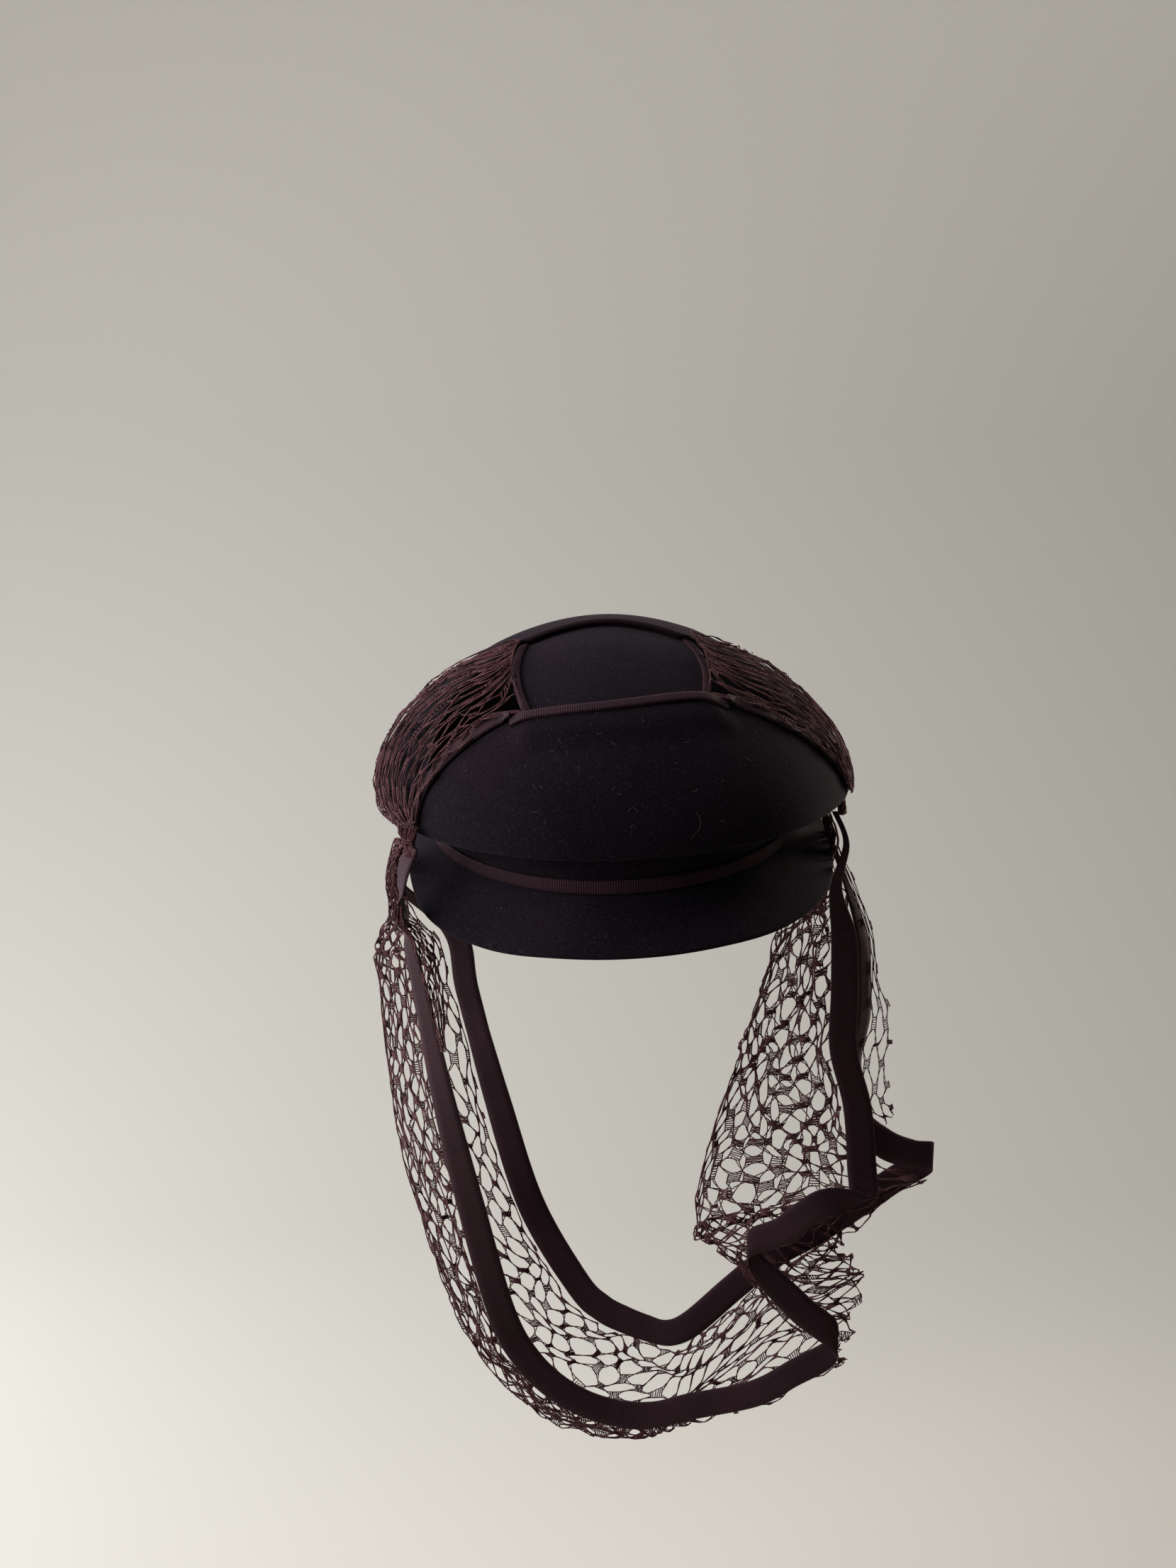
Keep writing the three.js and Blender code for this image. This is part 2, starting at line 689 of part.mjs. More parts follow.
// The veil's net, from the front ribbon's edge round the fold to the rear ribbon's. It keeps
// further off a ribbon that is turned edge on, and passes behind the front one.
const netSeam = 1.2;
const turnedSeam = 4;
const behindFront = 3 * netThickness;
function besideRibbon(share, column, behind) {
  const { at, across, out, width } = ribbonFrame(column)(share);
  const turned = 1 - Math.abs(out.y);
  at.addScaledVector(across, (-veilRibbonWidth * width) / 2 - netSeam * (1 + turnedSeam * turned));
  return at.addScaledVector(out, behind * Math.min(Math.max(2.5 * out.y, -1), 1)).toArray();
}
function veilPoint(share, across) {
  const fold = veilSection(share).slice(5, 8);
  const ends = smooth(Math.min(share, 1 - share) * veilSteps);
  return vec(...through([
    besideRibbon(share, ribbonColumn.front, behindFront * ends),
    fold,
    besideRibbon(share, ribbonColumn.back, 0),
  ])(across));
}
const hangingNet = netWall(veilSteps, 3, (share, across, side) => {
  const step = 0.02;
  const at = veilPoint(share, across);
  const along = veilPoint(share + step / 4, across).sub(veilPoint(share - step / 4, across));
  const over = veilPoint(share, across + step).sub(veilPoint(share, across - step));
  return at.addScaledVector(along.cross(over).normalize(), (side - 0.5) * netThickness);
});

// Where the net passes a ribbon's fold it stops just short of the ribbon
const solidOf = (geometry) => new solids.Manifold(new solids.Mesh({
  numProp: 3,
  vertProperties: Float32Array.from(geometry.attributes.position.array),
  triVerts: Uint32Array.from(geometry.index.array),
}));
function shortOf(geometry, others) {
  const rest = others.reduce((body, other) => body.subtract(solidOf(other)), solidOf(geometry));
  const largest = rest.decompose().reduce((a, b) => (b.volume() > a.volume() ? b : a));
  const { vertProperties, triVerts } = largest.getMesh();
  const shape = new THREE.BufferGeometry();
  shape.setAttribute('position', new THREE.BufferAttribute(vertProperties, 3));
  shape.setIndex(Array.from(triVerts));
  shape.computeVertexNormals();
  return shape;
}
const ribbonRoom = Object.values(ribbonColumn).map((column) => veilRibbon(column, clearance));
add(hat, 'veil_net', net, shortOf(hangingNet, ribbonRoom));

export default hat;
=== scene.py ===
# %% [markdown]
# # A visored felt hat with a net veil
# The real hat is a small puffed crown of wool felt on a band, with a visor brim in front, ribbed
# ribbon along its seams, and a long veil of threaded net that hangs from the crown's two corners
# and loops round at the back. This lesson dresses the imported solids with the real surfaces.

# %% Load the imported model
import math

import bpy
import numpy as np
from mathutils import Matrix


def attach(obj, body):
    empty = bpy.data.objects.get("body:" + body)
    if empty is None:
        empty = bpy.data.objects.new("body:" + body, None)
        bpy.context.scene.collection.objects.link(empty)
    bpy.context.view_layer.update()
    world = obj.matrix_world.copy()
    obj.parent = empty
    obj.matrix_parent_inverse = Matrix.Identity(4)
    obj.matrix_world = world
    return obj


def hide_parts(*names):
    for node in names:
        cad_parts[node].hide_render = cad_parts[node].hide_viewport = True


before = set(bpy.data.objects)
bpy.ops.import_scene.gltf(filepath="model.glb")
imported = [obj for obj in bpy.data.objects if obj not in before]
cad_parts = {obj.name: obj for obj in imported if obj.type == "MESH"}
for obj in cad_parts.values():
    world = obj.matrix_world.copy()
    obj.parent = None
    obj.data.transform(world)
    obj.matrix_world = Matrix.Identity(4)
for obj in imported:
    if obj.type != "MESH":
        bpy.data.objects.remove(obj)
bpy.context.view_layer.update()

MM = 0.001
print("solids in the frame:", len(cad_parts))

# %% [markdown]
# ## Camera
# The photograph was taken from just above the brim with a lens of about 52 mm. The distance and
# the angles below are the ones that make the solids cover the photograph, and a small shift puts
# the hat where the picture has it.

# %% Place the camera
PHOTO_WIDTH, PHOTO_HEIGHT = 1659, 2212
FOCAL_PIXELS = 3194
AIM = np.array([-0.0011, 0.0013, 0.0196])
AIM_PIXEL = (865.2, 1098.6)
CAMERA_DISTANCE = 1.07
azimuth, elevation = math.radians(-4.5), math.radians(8)
SENSOR = 36

toward = np.array([
    math.sin(azimuth) * math.cos(elevation),
    -math.cos(azimuth) * math.cos(elevation),
    math.sin(elevation),
])
lens = bpy.data.cameras.new("camera")
camera = bpy.data.objects.new("camera", lens)
bpy.context.scene.collection.objects.link(camera)
bpy.context.scene.camera = camera
camera.location = AIM + CAMERA_DISTANCE * toward
camera.rotation_euler = (math.pi / 2 - elevation, 0, azimuth)
lens.sensor_width = SENSOR
lens.lens = FOCAL_PIXELS / PHOTO_HEIGHT * SENSOR
lens.shift_x = -(AIM_PIXEL[0] - PHOTO_WIDTH / 2) / PHOTO_HEIGHT
lens.shift_y = (AIM_PIXEL[1] - PHOTO_HEIGHT / 2) / PHOTO_HEIGHT
lens.clip_start = 0.01
print("camera at", [round(v, 3) for v in camera.location], "lens", round(lens.lens, 2))

# %% [markdown]
# ## Building meshes from arrays
# Cloth, ribbon and thread are long and regular, so they are quickest to make from whole arrays of
# points. One helper turns points and faces into a piece that rides on the model, hides the solids
# it stands for and takes its finish. Lengths are millimetres until that helper turns them to
# metres.

# %% A helper that makes a piece
def new_piece(name, points, faces, finish, stands_for=(), groove=None):
    mesh = bpy.data.meshes.new(name)
    mesh.from_pydata((np.asarray(points).reshape(-1, 3) * MM).tolist(), [], faces)
    mesh.polygons.foreach_set("use_smooth", [True] * len(mesh.polygons))
    if groove is not None:
        layer = mesh.attributes.new("groove", "FLOAT", "POINT")
        layer.data.foreach_set("value", np.asarray(groove, np.float32).ravel())
    mesh.materials.append(finish)
    piece = bpy.data.objects.new(name, mesh)
    bpy.context.scene.collection.objects.link(piece)
    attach(piece, "root")
    if stands_for:
        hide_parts(*stands_for)
    triangles = sum(len(f) - 2 for f in faces)
    print(f"{name}: {triangles} triangles")
    return piece


# %% [markdown]
# ## Finishes
# Three cloths need a finish: wool felt, ribbed ribbon and thread. They were dyed in one colour and
# have worn together. Each could have its own nodes throughout, but the uneven dye and the loose
# fibre with its painted glint are node groups that all three use, each with its own sizes.

# %% Node helpers
def add_node(tree, kind, inputs=None, **settings):
    node = tree.nodes.new(kind)
    for key, value in settings.items():
        setattr(node, key, value)
    for key, value in (inputs or {}).items():
        if isinstance(value, bpy.types.NodeSocket):
            tree.links.new(value, node.inputs[key])
        else:
            node.inputs[key].default_value = value
    return node


def new_group(name, inputs, outputs):
    group = bpy.data.node_groups.new(name, "ShaderNodeTree")
    for label, start in inputs.items():
        socket = group.interface.new_socket(label, in_out="INPUT", socket_type="NodeSocketFloat")
        socket.default_value = start
    for label in outputs:
        group.interface.new_socket(label, in_out="OUTPUT", socket_type="NodeSocketFloat")
    print("node group", name)
    return group, group.nodes.new("NodeGroupInput"), group.nodes.new("NodeGroupOutput")


# %% [markdown]
# ## Uneven dye
# Old dyed cloth is never one flat colour: it has broad soft patches where light and wear have
# reached it. They could be painted by hand, but a slow noise in the piece's own space gives the
# same soft change to every cloth, and each cloth says how large and strong its patches are.

# %% Broad soft patches
def make_uneven_dye():
    group, into, out = new_group("uneven_dye", {"Scale": 20.0, "Contrast": 1.0}, ["Patches"])
    place = add_node(group, "ShaderNodeTexCoord")
    broad = add_node(group, "ShaderNodeTexNoise", {
        "Vector": place.outputs["Object"], "Scale": into.outputs["Scale"],
        "Detail": 3.0, "Roughness": 0.55,
    })
    spread = add_node(group, "ShaderNodeMath", {
        0: broad.outputs["Fac"], 1: 0.5,
    }, operation="SUBTRACT")
    scaled = add_node(group, "ShaderNodeMath", {
        0: spread.outputs[0], 1: into.outputs["Contrast"],
    }, operation="MULTIPLY")
    centred = add_node(group, "ShaderNodeMath", {
        0: scaled.outputs[0], 1: 0.5,
    }, operation="ADD", use_clamp=True)
    group.links.new(centred.outputs[0], out.inputs["Patches"])
    return group


uneven_dye = make_uneven_dye()
print(uneven_dye.name, "has", len(uneven_dye.nodes), "nodes")


# %% [markdown]
# ## Loose fibre and painted glint
# Felt and thread are covered with short fibres that lie in every direction. Hair could be
# grown on the mesh, but it would take millions of strands. Two noises, each stretched another
# way, give pale strokes of the right size, partly the fibres' own colour and partly a painted
# highlight where they catch the light, and the same values serve as a fine relief.

# %% Short pale strokes, partly painted glint, and their relief
BEND_SCALE, BEND_REACH = 160.0, 0.006
# how each of the two noises is turned and stretched
STROKE_WAYS = (((0.3, 0.2, 0.5), (1, 0.45, 1)), ((1.1, 0.7, 1.9), (0.45, 1, 1)))
NO_STROKE, FULL_STROKE = 0.78, 0.8


def make_fibre_and_glint():
    group, into, out = new_group(
        "fibre_and_glint", {"Scale": 900.0, "Amount": 0.3}, ["Strokes", "Height"],
    )
    place = add_node(group, "ShaderNodeTexCoord")
    bend = add_node(group, "ShaderNodeTexNoise", {
        "Vector": place.outputs["Object"], "Scale": BEND_SCALE, "Detail": 2.0,
    })
    bent = add_node(group, "ShaderNodeVectorMath", {
        0: bend.outputs["Color"], 1: (BEND_REACH, BEND_REACH, BEND_REACH),
    }, operation="MULTIPLY")
    moved = add_node(group, "ShaderNodeVectorMath", {
        0: place.outputs["Object"], 1: bent.outputs[0],
    }, operation="ADD")
    layers = []
    for turn, stretch in STROKE_WAYS:
        laid = add_node(group, "ShaderNodeMapping", {
            "Vector": moved.outputs[0], "Rotation": turn, "Scale": stretch,
        })
        strokes = add_node(group, "ShaderNodeTexNoise", {
            "Vector": laid.outputs[0], "Scale": into.outputs["Scale"],
            "Detail": 3.0, "Roughness": 0.65,
        })
        layers.append(strokes.outputs["Fac"])
    higher = add_node(group, "ShaderNodeMath", {0: layers[0], 1: layers[1]}, operation="MAXIMUM")
    start = add_node(group, "ShaderNodeMath", {
        0: NO_STROKE, 1: into.outputs["Amount"],
    }, operation="SUBTRACT")
    stroke = add_node(group, "ShaderNodeMapRange", {
        "Value": higher.outputs[0], "From Min": start.outputs[0], "From Max": FULL_STROKE,
    })
    stroke.clamp = True
    group.links.new(stroke.outputs[0], out.inputs["Strokes"])
    group.links.new(higher.outputs[0], out.inputs["Height"])
    return group


fibre_and_glint = make_fibre_and_glint()
print(fibre_and_glint.name, "has", len(fibre_and_glint.nodes), "nodes")


# %% [markdown]
# ## The cloths' materials
# Felt has no weave: it shows a dense nap of fibres that scatters light at its edges, so it gets
# sheen and a fine relief. The ribbon is smooth between its ribs and a little glossier, and its
# ribs are real geometry, with painted shade darkening their grooves. The thread is matt and redder
# where it is lit.

# %% A cloth's colour
# painted shade: the near black that the ribbon's grooves are darkened towards
PAINTED_GROOVE_SHADE = (0.10, 0.08, 0.10)


def cloth_colour(tree, patches, strokes, deep, lit, fibre_glint, ribs):
    base = add_node(tree, "ShaderNodeMix", data_type="RGBA")
    tree.links.new(patches, base.inputs["Factor"])
    base.inputs["A"].default_value = (*deep, 1)
    base.inputs["B"].default_value = (*lit, 1)
    colour = base.outputs["Result"]
    # painted shade: ribs sets how strongly the grooves are darkened, standing for the shade between
    # the ribs
    if ribs:
        groove = add_node(tree, "ShaderNodeAttribute", attribute_name="groove")
        groove_painted_shade = add_node(tree, "ShaderNodeMix", data_type="RGBA", blend_type="MULTIPLY")
        weight = add_node(tree, "ShaderNodeMath", {
            0: groove.outputs["Fac"], 1: ribs,
        }, operation="MULTIPLY")
        tree.links.new(weight.outputs[0], groove_painted_shade.inputs["Factor"])
        tree.links.new(colour, groove_painted_shade.inputs["A"])
        groove_painted_shade.inputs["B"].default_value = (*PAINTED_GROOVE_SHADE, 1)
        colour = groove_painted_shade.outputs["Result"]
    # pale strokes: short fibres, paler partly as a painted highlight of the light they catch
    paler = add_node(tree, "ShaderNodeMix", data_type="RGBA")
    tree.links.new(strokes, paler.inputs["Factor"])
    tree.links.new(colour, paler.inputs["A"])
    paler.inputs["B"].default_value = (*fibre_glint, 1)
    return paler.outputs["Result"]


# %% Mix a cloth's material
NAP_ROUGHNESS = 0.5


def cloth(
    name, deep, lit, fibre_glint, dye, fibre, roughness, sheen, sheen_tint, relief, gloss, ribs=0.0,
):
    # dye and fibre are a scale and a strength, relief is a strength and a distance in metres
    material = bpy.data.materials.new(name)
    material.use_nodes = True
    tree = material.node_tree
    tree.nodes.clear()
    patches = add_node(tree, "ShaderNodeGroup", node_tree=uneven_dye)
    patches.inputs["Scale"].default_value, patches.inputs["Contrast"].default_value = dye
    strands = add_node(tree, "ShaderNodeGroup", node_tree=fibre_and_glint)
    strands.inputs["Scale"].default_value, strands.inputs["Amount"].default_value = fibre
    colour = cloth_colour(
        tree, patches.outputs["Patches"], strands.outputs["Strokes"], deep, lit, fibre_glint, ribs,
    )
    height = add_node(tree, "ShaderNodeBump", {
        "Height": strands.outputs["Height"], "Strength": relief[0], "Distance": relief[1],
    })
    rough = add_node(tree, "ShaderNodeMapRange", {
        "Value": patches.outputs["Patches"],
        "To Min": roughness[0], "To Max": roughness[1],
    })
    shader = add_node(tree, "ShaderNodeBsdfPrincipled", {
        "Base Color": colour, "Roughness": rough.outputs[0],
        "Normal": height.outputs[0],
    })
    shader.inputs["Sheen Weight"].default_value = sheen
    shader.inputs["Sheen Roughness"].default_value = NAP_ROUGHNESS
    shader.inputs["Sheen Tint"].default_value = (*sheen_tint, 1)
    shader.inputs["Specular IOR Level"].default_value = gloss
    surface = add_node(tree, "ShaderNodeOutputMaterial")
    tree.links.new(shader.outputs[0], surface.inputs["Surface"])
    print("material", name)
    return material


# %% Felt, ribbon, a darker ribbon copy as painted shade, and thread
felt = cloth(
    "wool_felt", deep=(0.0026, 0.0020, 0.0044), lit=(0.0072, 0.0042, 0.0068),
    fibre_glint=(0.046, 0.038, 0.048), dye=(22.0, 1.9), fibre=(1900.0, 0.19), roughness=(0.85, 1.0),
    sheen=0.035, sheen_tint=(0.88, 0.74, 0.86), relief=(0.5, 0.0004), gloss=0.04,
)
ribbon = cloth(
    "ribbed_ribbon", deep=(0.0210, 0.0083, 0.0125), lit=(0.0440, 0.0180, 0.0255),
    fibre_glint=(0.09, 0.055, 0.06), dye=(35.0, 1.4), fibre=(1800.0, 0.04), roughness=(0.55, 0.75),
    sheen=0.05, sheen_tint=(0.85, 0.5, 0.6), relief=(0.25, 0.0002), gloss=0.08, ribs=1.0,
)
# a darker copy of the ribbon for the ridge's roll: painted shade for the shade it lies in
shaded_ribbon = cloth(
    "ribbon_in_painted_shade", deep=(0.0060, 0.0025, 0.0034), lit=(0.0110, 0.0045, 0.0058),
    fibre_glint=(0.05, 0.03, 0.035), dye=(35.0, 1.4), fibre=(1500.0, 0.08), roughness=(0.7, 0.9),
    sheen=0.03, sheen_tint=(0.85, 0.6, 0.65), relief=(0.4, 0.0003), gloss=0.05, ribs=0.6,
)
thread = cloth(
    "net_thread", deep=(0.0340, 0.0115, 0.0145), lit=(0.0780, 0.0290, 0.0340),
    fibre_glint=(0.15, 0.08, 0.085), dye=(90.0, 2.0), fibre=(2500.0, 0.05), roughness=(0.7, 0.9),
    sheen=0.06, sheen_tint=(0.85, 0.5, 0.5), relief=(0.3, 0.0002), gloss=0.08,
)

# %% [markdown]
# ## The crown's own map
# The crown is a puffed dome, so its pieces are drawn on it as on a globe: in degrees from its top,
# across and back. One function turns a place on that map into a point and lifts it off the dome.
# The same sizes shape the solids, so the felt and its bindings lie exactly in their solids.

# %% Sizes of the hat
FELT, RIBBON, NET, GAP = 2.0, 1.0, 1.0, 0.35
HEAD_WIDE, HEAD_DEEP, HEAD_BACK = 84.0, 98.0, 7.5
BASE_HEIGHT, BAND_HEIGHT = 17.0, 6.2
CROWN_WIDE, CROWN_DEEP, CROWN_BACK = 109.5, 103.0, 5.0
CROWN_WIDEST, CROWN_RISE, CROWN_TUCK = 19.0, 73.5, 12.0
ROUNDNESS, SIDE_LEAN = 1.7, -0.03
BINDING_WIDTH, CRESCENT_LAP, RIDGE_RISE, ROLL_WIDTH = 3.8, 2.6, 2.5, 3.0
BRIM_WIDTH, BRIM_REACH = 30.0, 112.0
VEIL_RIBBON_WIDTH, CROWN_RIBBON_WIDTH, VEIL_DROP = 14.5, 8.0, 300.0
GATHER_WIDTH, GATHER_HEIGHT, GATHER_DEPTH = 17.0, 13.0, 6.0
FORWARD_TILT, SIDE_TILT = math.radians(11), math.radians(3.3)
ON_FELT = FELT + GAP
OVER_FELT = FELT + 2 * GAP
print("band's oval:", 2 * HEAD_WIDE, "by", 2 * HEAD_DEEP, "mm inside its felt")


# %% [markdown]
# ## Curves and places
# Each outline is a short table of measured places. Straight lines between them would show
# corners, so a cubic curve runs through the rows. Other helpers turn a place on the band's oval
# or on the dome into a point, tilt it as the hat is worn, and give hand-made unevenness.

# %% Curves through a few rows
def mix(a, b, share):
    return a + (b - a) * share


def smooth(x):
    x = np.clip(x, 0, 1)
    return x * x * (3 - 2 * x)


def unit(v):
    return v / np.maximum(np.linalg.norm(v, axis=-1, keepdims=True), 1e-9)


def cubic(a, b, d, e, part):
    blend = part**2 * (3 - 2 * part)
    out = (d - a) / 2 * part * (1 - part) ** 2
    return b + (d - b) * blend + out - (e - b) / 2 * part**2 * (1 - part)


def through(rows):
    rows = np.array(rows, float)
    last = len(rows) - 1

    def at(share):
        place = np.clip(np.asarray(share, float), 0, 1) * last
        i = np.minimum(place.astype(int), last - 1)
        part = (place - i)[..., None]
        return cubic(*(rows[np.clip(i + k, 0, last)] for k in (-1, 0, 1, 2)), part)

    return at


print("a curve through 0, 2 and 3, a quarter along:", through([[0], [2], [3]])(0.25))


# %% Places on the band's oval and on the dome
def on_oval(turn, grown, z):
    angle = np.radians(turn)
    x = (HEAD_WIDE + grown) * np.cos(angle)
    y = HEAD_BACK + (HEAD_DEEP + grown) * np.sin(angle)
    return np.stack(np.broadcast_arrays(x, y, z), -1)


def on_crown(across, back, lift):
    across, back, lift = np.broadcast_arrays(*(np.asarray(v, float) for v in (across, back, lift)))
    turn = np.arctan2(back, across)
    rise = np.radians(90 - np.hypot(across, back))
    spread = np.abs(np.cos(rise)) ** (2 / ROUNDNESS)
    level = np.abs(np.sin(rise)) ** (2 / ROUNDNESS)
    x, y = spread * np.cos(turn), spread * np.sin(turn)
    height = np.where(rise > 0, CROWN_RISE, -CROWN_TUCK)
    flare = (spread + 1e-6) ** (ROUNDNESS - 2)
    away = unit(np.stack([
        flare * x / CROWN_WIDE, flare * y / CROWN_DEEP, level ** (ROUNDNESS - 1) / height,
    ], -1))
    p = np.stack([
        CROWN_WIDE * x, CROWN_BACK + CROWN_DEEP * y, CROWN_WIDEST + height * level,
    ], -1)
    p[..., 2] += SIDE_LEAN * p[..., 0] * np.clip(p[..., 2] / CROWN_WIDEST, 0, 1)
    return p + away * lift[..., None]


TILT = np.array([
    [math.cos(SIDE_TILT), 0, -math.sin(SIDE_TILT)], [0, 1, 0],
    [math.sin(SIDE_TILT), 0, math.cos(SIDE_TILT)],
]) @ np.array([
    [1, 0, 0], [0, math.cos(FORWARD_TILT), -math.sin(FORWARD_TILT)],
    [0, math.sin(FORWARD_TILT), math.cos(FORWARD_TILT)],
])


def worn(points):
    return points @ TILT.T


print("tilted frame:", TILT.round(3).tolist())

# %% Unevenness left by the hand
WAVES, WAVE_SPREAD, WAVE_SHIFT, WAVE_SUM = 5, (0.7, 1.5), 6.3, 3


def waviness(points, size, seed):
    # a few waves in random directions, each about size millimetres long
    rng = np.random.default_rng(seed)
    total = 0
    for _ in range(WAVES):
        way = unit(rng.normal(size=3)) * 2 * math.pi / (size * rng.uniform(*WAVE_SPREAD))
        total = total + np.sin(points @ way + rng.uniform(0, WAVE_SHIFT))
    return total / WAVE_SUM


print("waviness at one place:", waviness(np.zeros((1, 3)), 10, 1).round(2))

# %% [markdown]
# ## Where the crown's pieces meet
# The crescent, the back and the panel are cut along curved edges, and net fills the gaps between
# them. The edges are drawn once on the crown's map, and every felt piece, binding and net starts
# from them, so that they meet as sewn pieces do.

# %% Edges on the crown, as across and back in degrees from its top
crescent_edge = through([
    [-80, -56], [-71, -49], [-62, -43.5], [-52, -40], [-41, -37.8], [-32, -36.8],
    [-24, -37.8], [-15, -39.5], [-5, -40.3], [5, -39.3], [14, -36.9], [22, -34.4],
    [31, -34], [43, -33], [54, -31.5], [65, -30.3], [76, -29.8], [87, -33],
])
back_edge = through([
    [-79, -54], [-70, -47.2], [-61.5, -41.5], [-56, -33], [-51, -23], [-44, -12.5],
    [-34, -5.6], [-24, -2.6], [-15, -0.5], [-5, 0.4], [5, -0.4], [14, -2.4], [22, -5.6],
    [31, -9.6], [41, -15], [49, -21.5], [57, -28], [66, -28.8], [76, -28.2], [87, -31.2],
])
net_back = {
    "right": through([[-28, -7], [-38, 5], [-53, 13], [-68, 12], [-80, 1], [-87, -22], [-85, -46]]),
    "left": through([[26.5, -10], [36, 3], [51, 12], [66, 12], [80, 2], [88, -10], [89, -24]]),
}
PANEL_FRONT, PANEL_BACK, PANEL_SIDE = (0.35, 0.655), (0.372, 0.628), (0.115, 0.89)
CRESCENT_BOUND, RIDGE_BOUND = (0.318, 0.69), (0.362, 0.638)
BOUND_END = 0.006
RAISED_END, RAISED_FLAT = 0.06, 0.1
CORNER_TURN = {"right": -145.0, "left": -21.0}
WIDEST_ROW, EDGE_CROWDING = 0.75, 1.35
print("the panel's front corners:", crescent_edge(np.array(PANEL_FRONT)).round(1).tolist())


# %% From an edge down to the band
def tuck_edge(turn):
    angle = np.radians(turn)
    wide = CROWN_WIDE * np.cos(angle) / (HEAD_WIDE + ON_FELT)
    deep = CROWN_DEEP * np.sin(angle) / (HEAD_DEEP + ON_FELT)
    off = (CROWN_BACK - HEAD_BACK) / (HEAD_DEEP + ON_FELT)
    a, b, c = wide**2 + deep**2, 2 * deep * off, off * off - 1
    spread = np.minimum((-b + np.sqrt(b * b - 4 * a * c)) / (2 * a), 1)
    from_top = 90 + np.degrees(np.arccos(spread ** (ROUNDNESS / 2)))
    return np.stack([from_top * np.cos(angle), from_top * np.sin(angle)], -1)


def down_column(top, turn, level):
    angle = np.radians(turn)
    widest = 90 * np.stack([np.cos(angle), np.sin(angle)], -1)
    down = np.clip(level / WIDEST_ROW, 0, 1) ** EDGE_CROWDING
    under = np.clip((level - WIDEST_ROW) / (1 - WIDEST_ROW), 0, 1)[..., None]
    at = mix(mix(top, widest, down[..., None]), tuck_edge(turn), under)
    return at, down


def raised(share, span, down, depth):
    past = np.maximum(np.maximum(span[0] - share, share - span[1]), 0)
    return (1 - smooth(past / RAISED_END)) * (1 - smooth((down - RAISED_FLAT) / depth))


print("the crown meets the band in front at", tuck_edge(-90.0).round(1).tolist())

# %% [markdown]
# ## Felt
# The crown, the panel, the band wall and the brim are blocked felt, 2 mm thick, with cut edges
# that wear round. They could be single surfaces with Solidify, but a closed section that is
# swept along keeps the rounded edge exactly where the solid has it. A faint waviness stands for
# the hand that blocked it.

# %% Faces of a swept wall
RIM_STEPS = 5


def ring_faces(count, size, closed):
    i = np.arange(count if closed else count - 1)[:, None]
    k = np.arange(size)[None, :]
    here, there = i * size, (i + 1) % count * size
    turn = (k + 1) % size
    quads = np.stack([here + k, here + turn, there + turn, there + k], -1)
    return quads.reshape(-1, 4).tolist()


def wall_ends(count, size, down):
    outer = np.arange(down + 1)
    inner = np.arange(2 * (down + 1) + RIM_STEPS - 1, down + RIM_STEPS, -1)
    far_rim = list(range(down, down + RIM_STEPS + 2))
    near_rim = [0] + list(range(size - 1, size - RIM_STEPS - 2, -1))
    faces = []
    for start, flip in ((0, False), ((count - 1) * size, True)):
        strip = [[outer[k], inner[k], inner[k + 1], outer[k + 1]] for k in range(down)]
        for face in [*strip, far_rim, near_rim[::-1]]:
            face = [int(v) + start for v in face]
            faces.append(face[::-1] if flip else face)
    return faces


print("faces round 4 sections of 6 points, closed:", len(ring_faces(4, 6, True)))

# %% Sweep a rounded felt wall
WIDEST_RIM, LENGTH_STEPS = 0.2, 25
FELT_WAVE, FELT_WAVE_LENGTH, FELT_WAVE_SEED = 0.22, 42, 3


def felt_wall(name, surface, along, down, stands_for, ring=False):
    share = np.linspace(0, 1, along + 1)[:along if ring else along + 1]
    rows = np.linspace(0, 1, down + 1)
    levels = np.linspace(0, 1, LENGTH_STEPS)[None, :]
    sample = surface(share[:, None], levels, np.full((1, 1), FELT))
    length = np.linalg.norm(np.diff(sample, axis=1), axis=2).sum(1)[:, None]
    # the level goes out over the wall, round its far rim, back inside and round its near rim
    rim = np.minimum(FELT / 2 / length, WIDEST_RIM)
    arc = np.linspace(math.pi / 2, -math.pi / 2, RIM_STEPS + 2)[1:-1]
    outer = rim + rows * (1 - 2 * rim)
    far = 1 - rim + rim * np.cos(arc)
    near = (rim - rim * np.cos(arc))[:, ::-1]
    level = np.concatenate([outer, far, outer[:, ::-1], near], axis=1)
    swing = FELT / 2 * (1 + np.sin(arc))
    lift = np.concatenate([
        np.full(down + 1, FELT), swing, np.zeros(down + 1), swing[::-1],
    ])[None, :] * np.ones_like(level)
    base = surface(share[:, None] * np.ones_like(level), level, np.zeros_like(level))
    lift = lift + FELT_WAVE * waviness(base, FELT_WAVE_LENGTH, FELT_WAVE_SEED)
    points = worn(surface(share[:, None] * np.ones_like(level), level, lift))
    count, size = level.shape
    faces = ring_faces(count, size, ring)
    if not ring:
        faces += wall_ends(count, size, down)
    return new_piece(name, points, faces, felt, stands_for)

# %% [markdown]
# ## The crown's three felt pieces
# A crescent bulges over the brim and tucks under at its foot, the back closes the dome, and a
# panel is let in between them, under their edges. They could be cut from one dome with booleans,
# but sweeping each from its own edge down to the band keeps clean cut rims and soft laps.

# %% Crescent, back and panel
FRONT_TUCK, TUCK_ROUND = 0.40, 0.7
LAP_DEPTH, RIDGE_DEPTH = 0.16, 0.25
SEAM_TURN = 0.6
PANEL_LAP, PANEL_BULGE = 3.2, 3.4


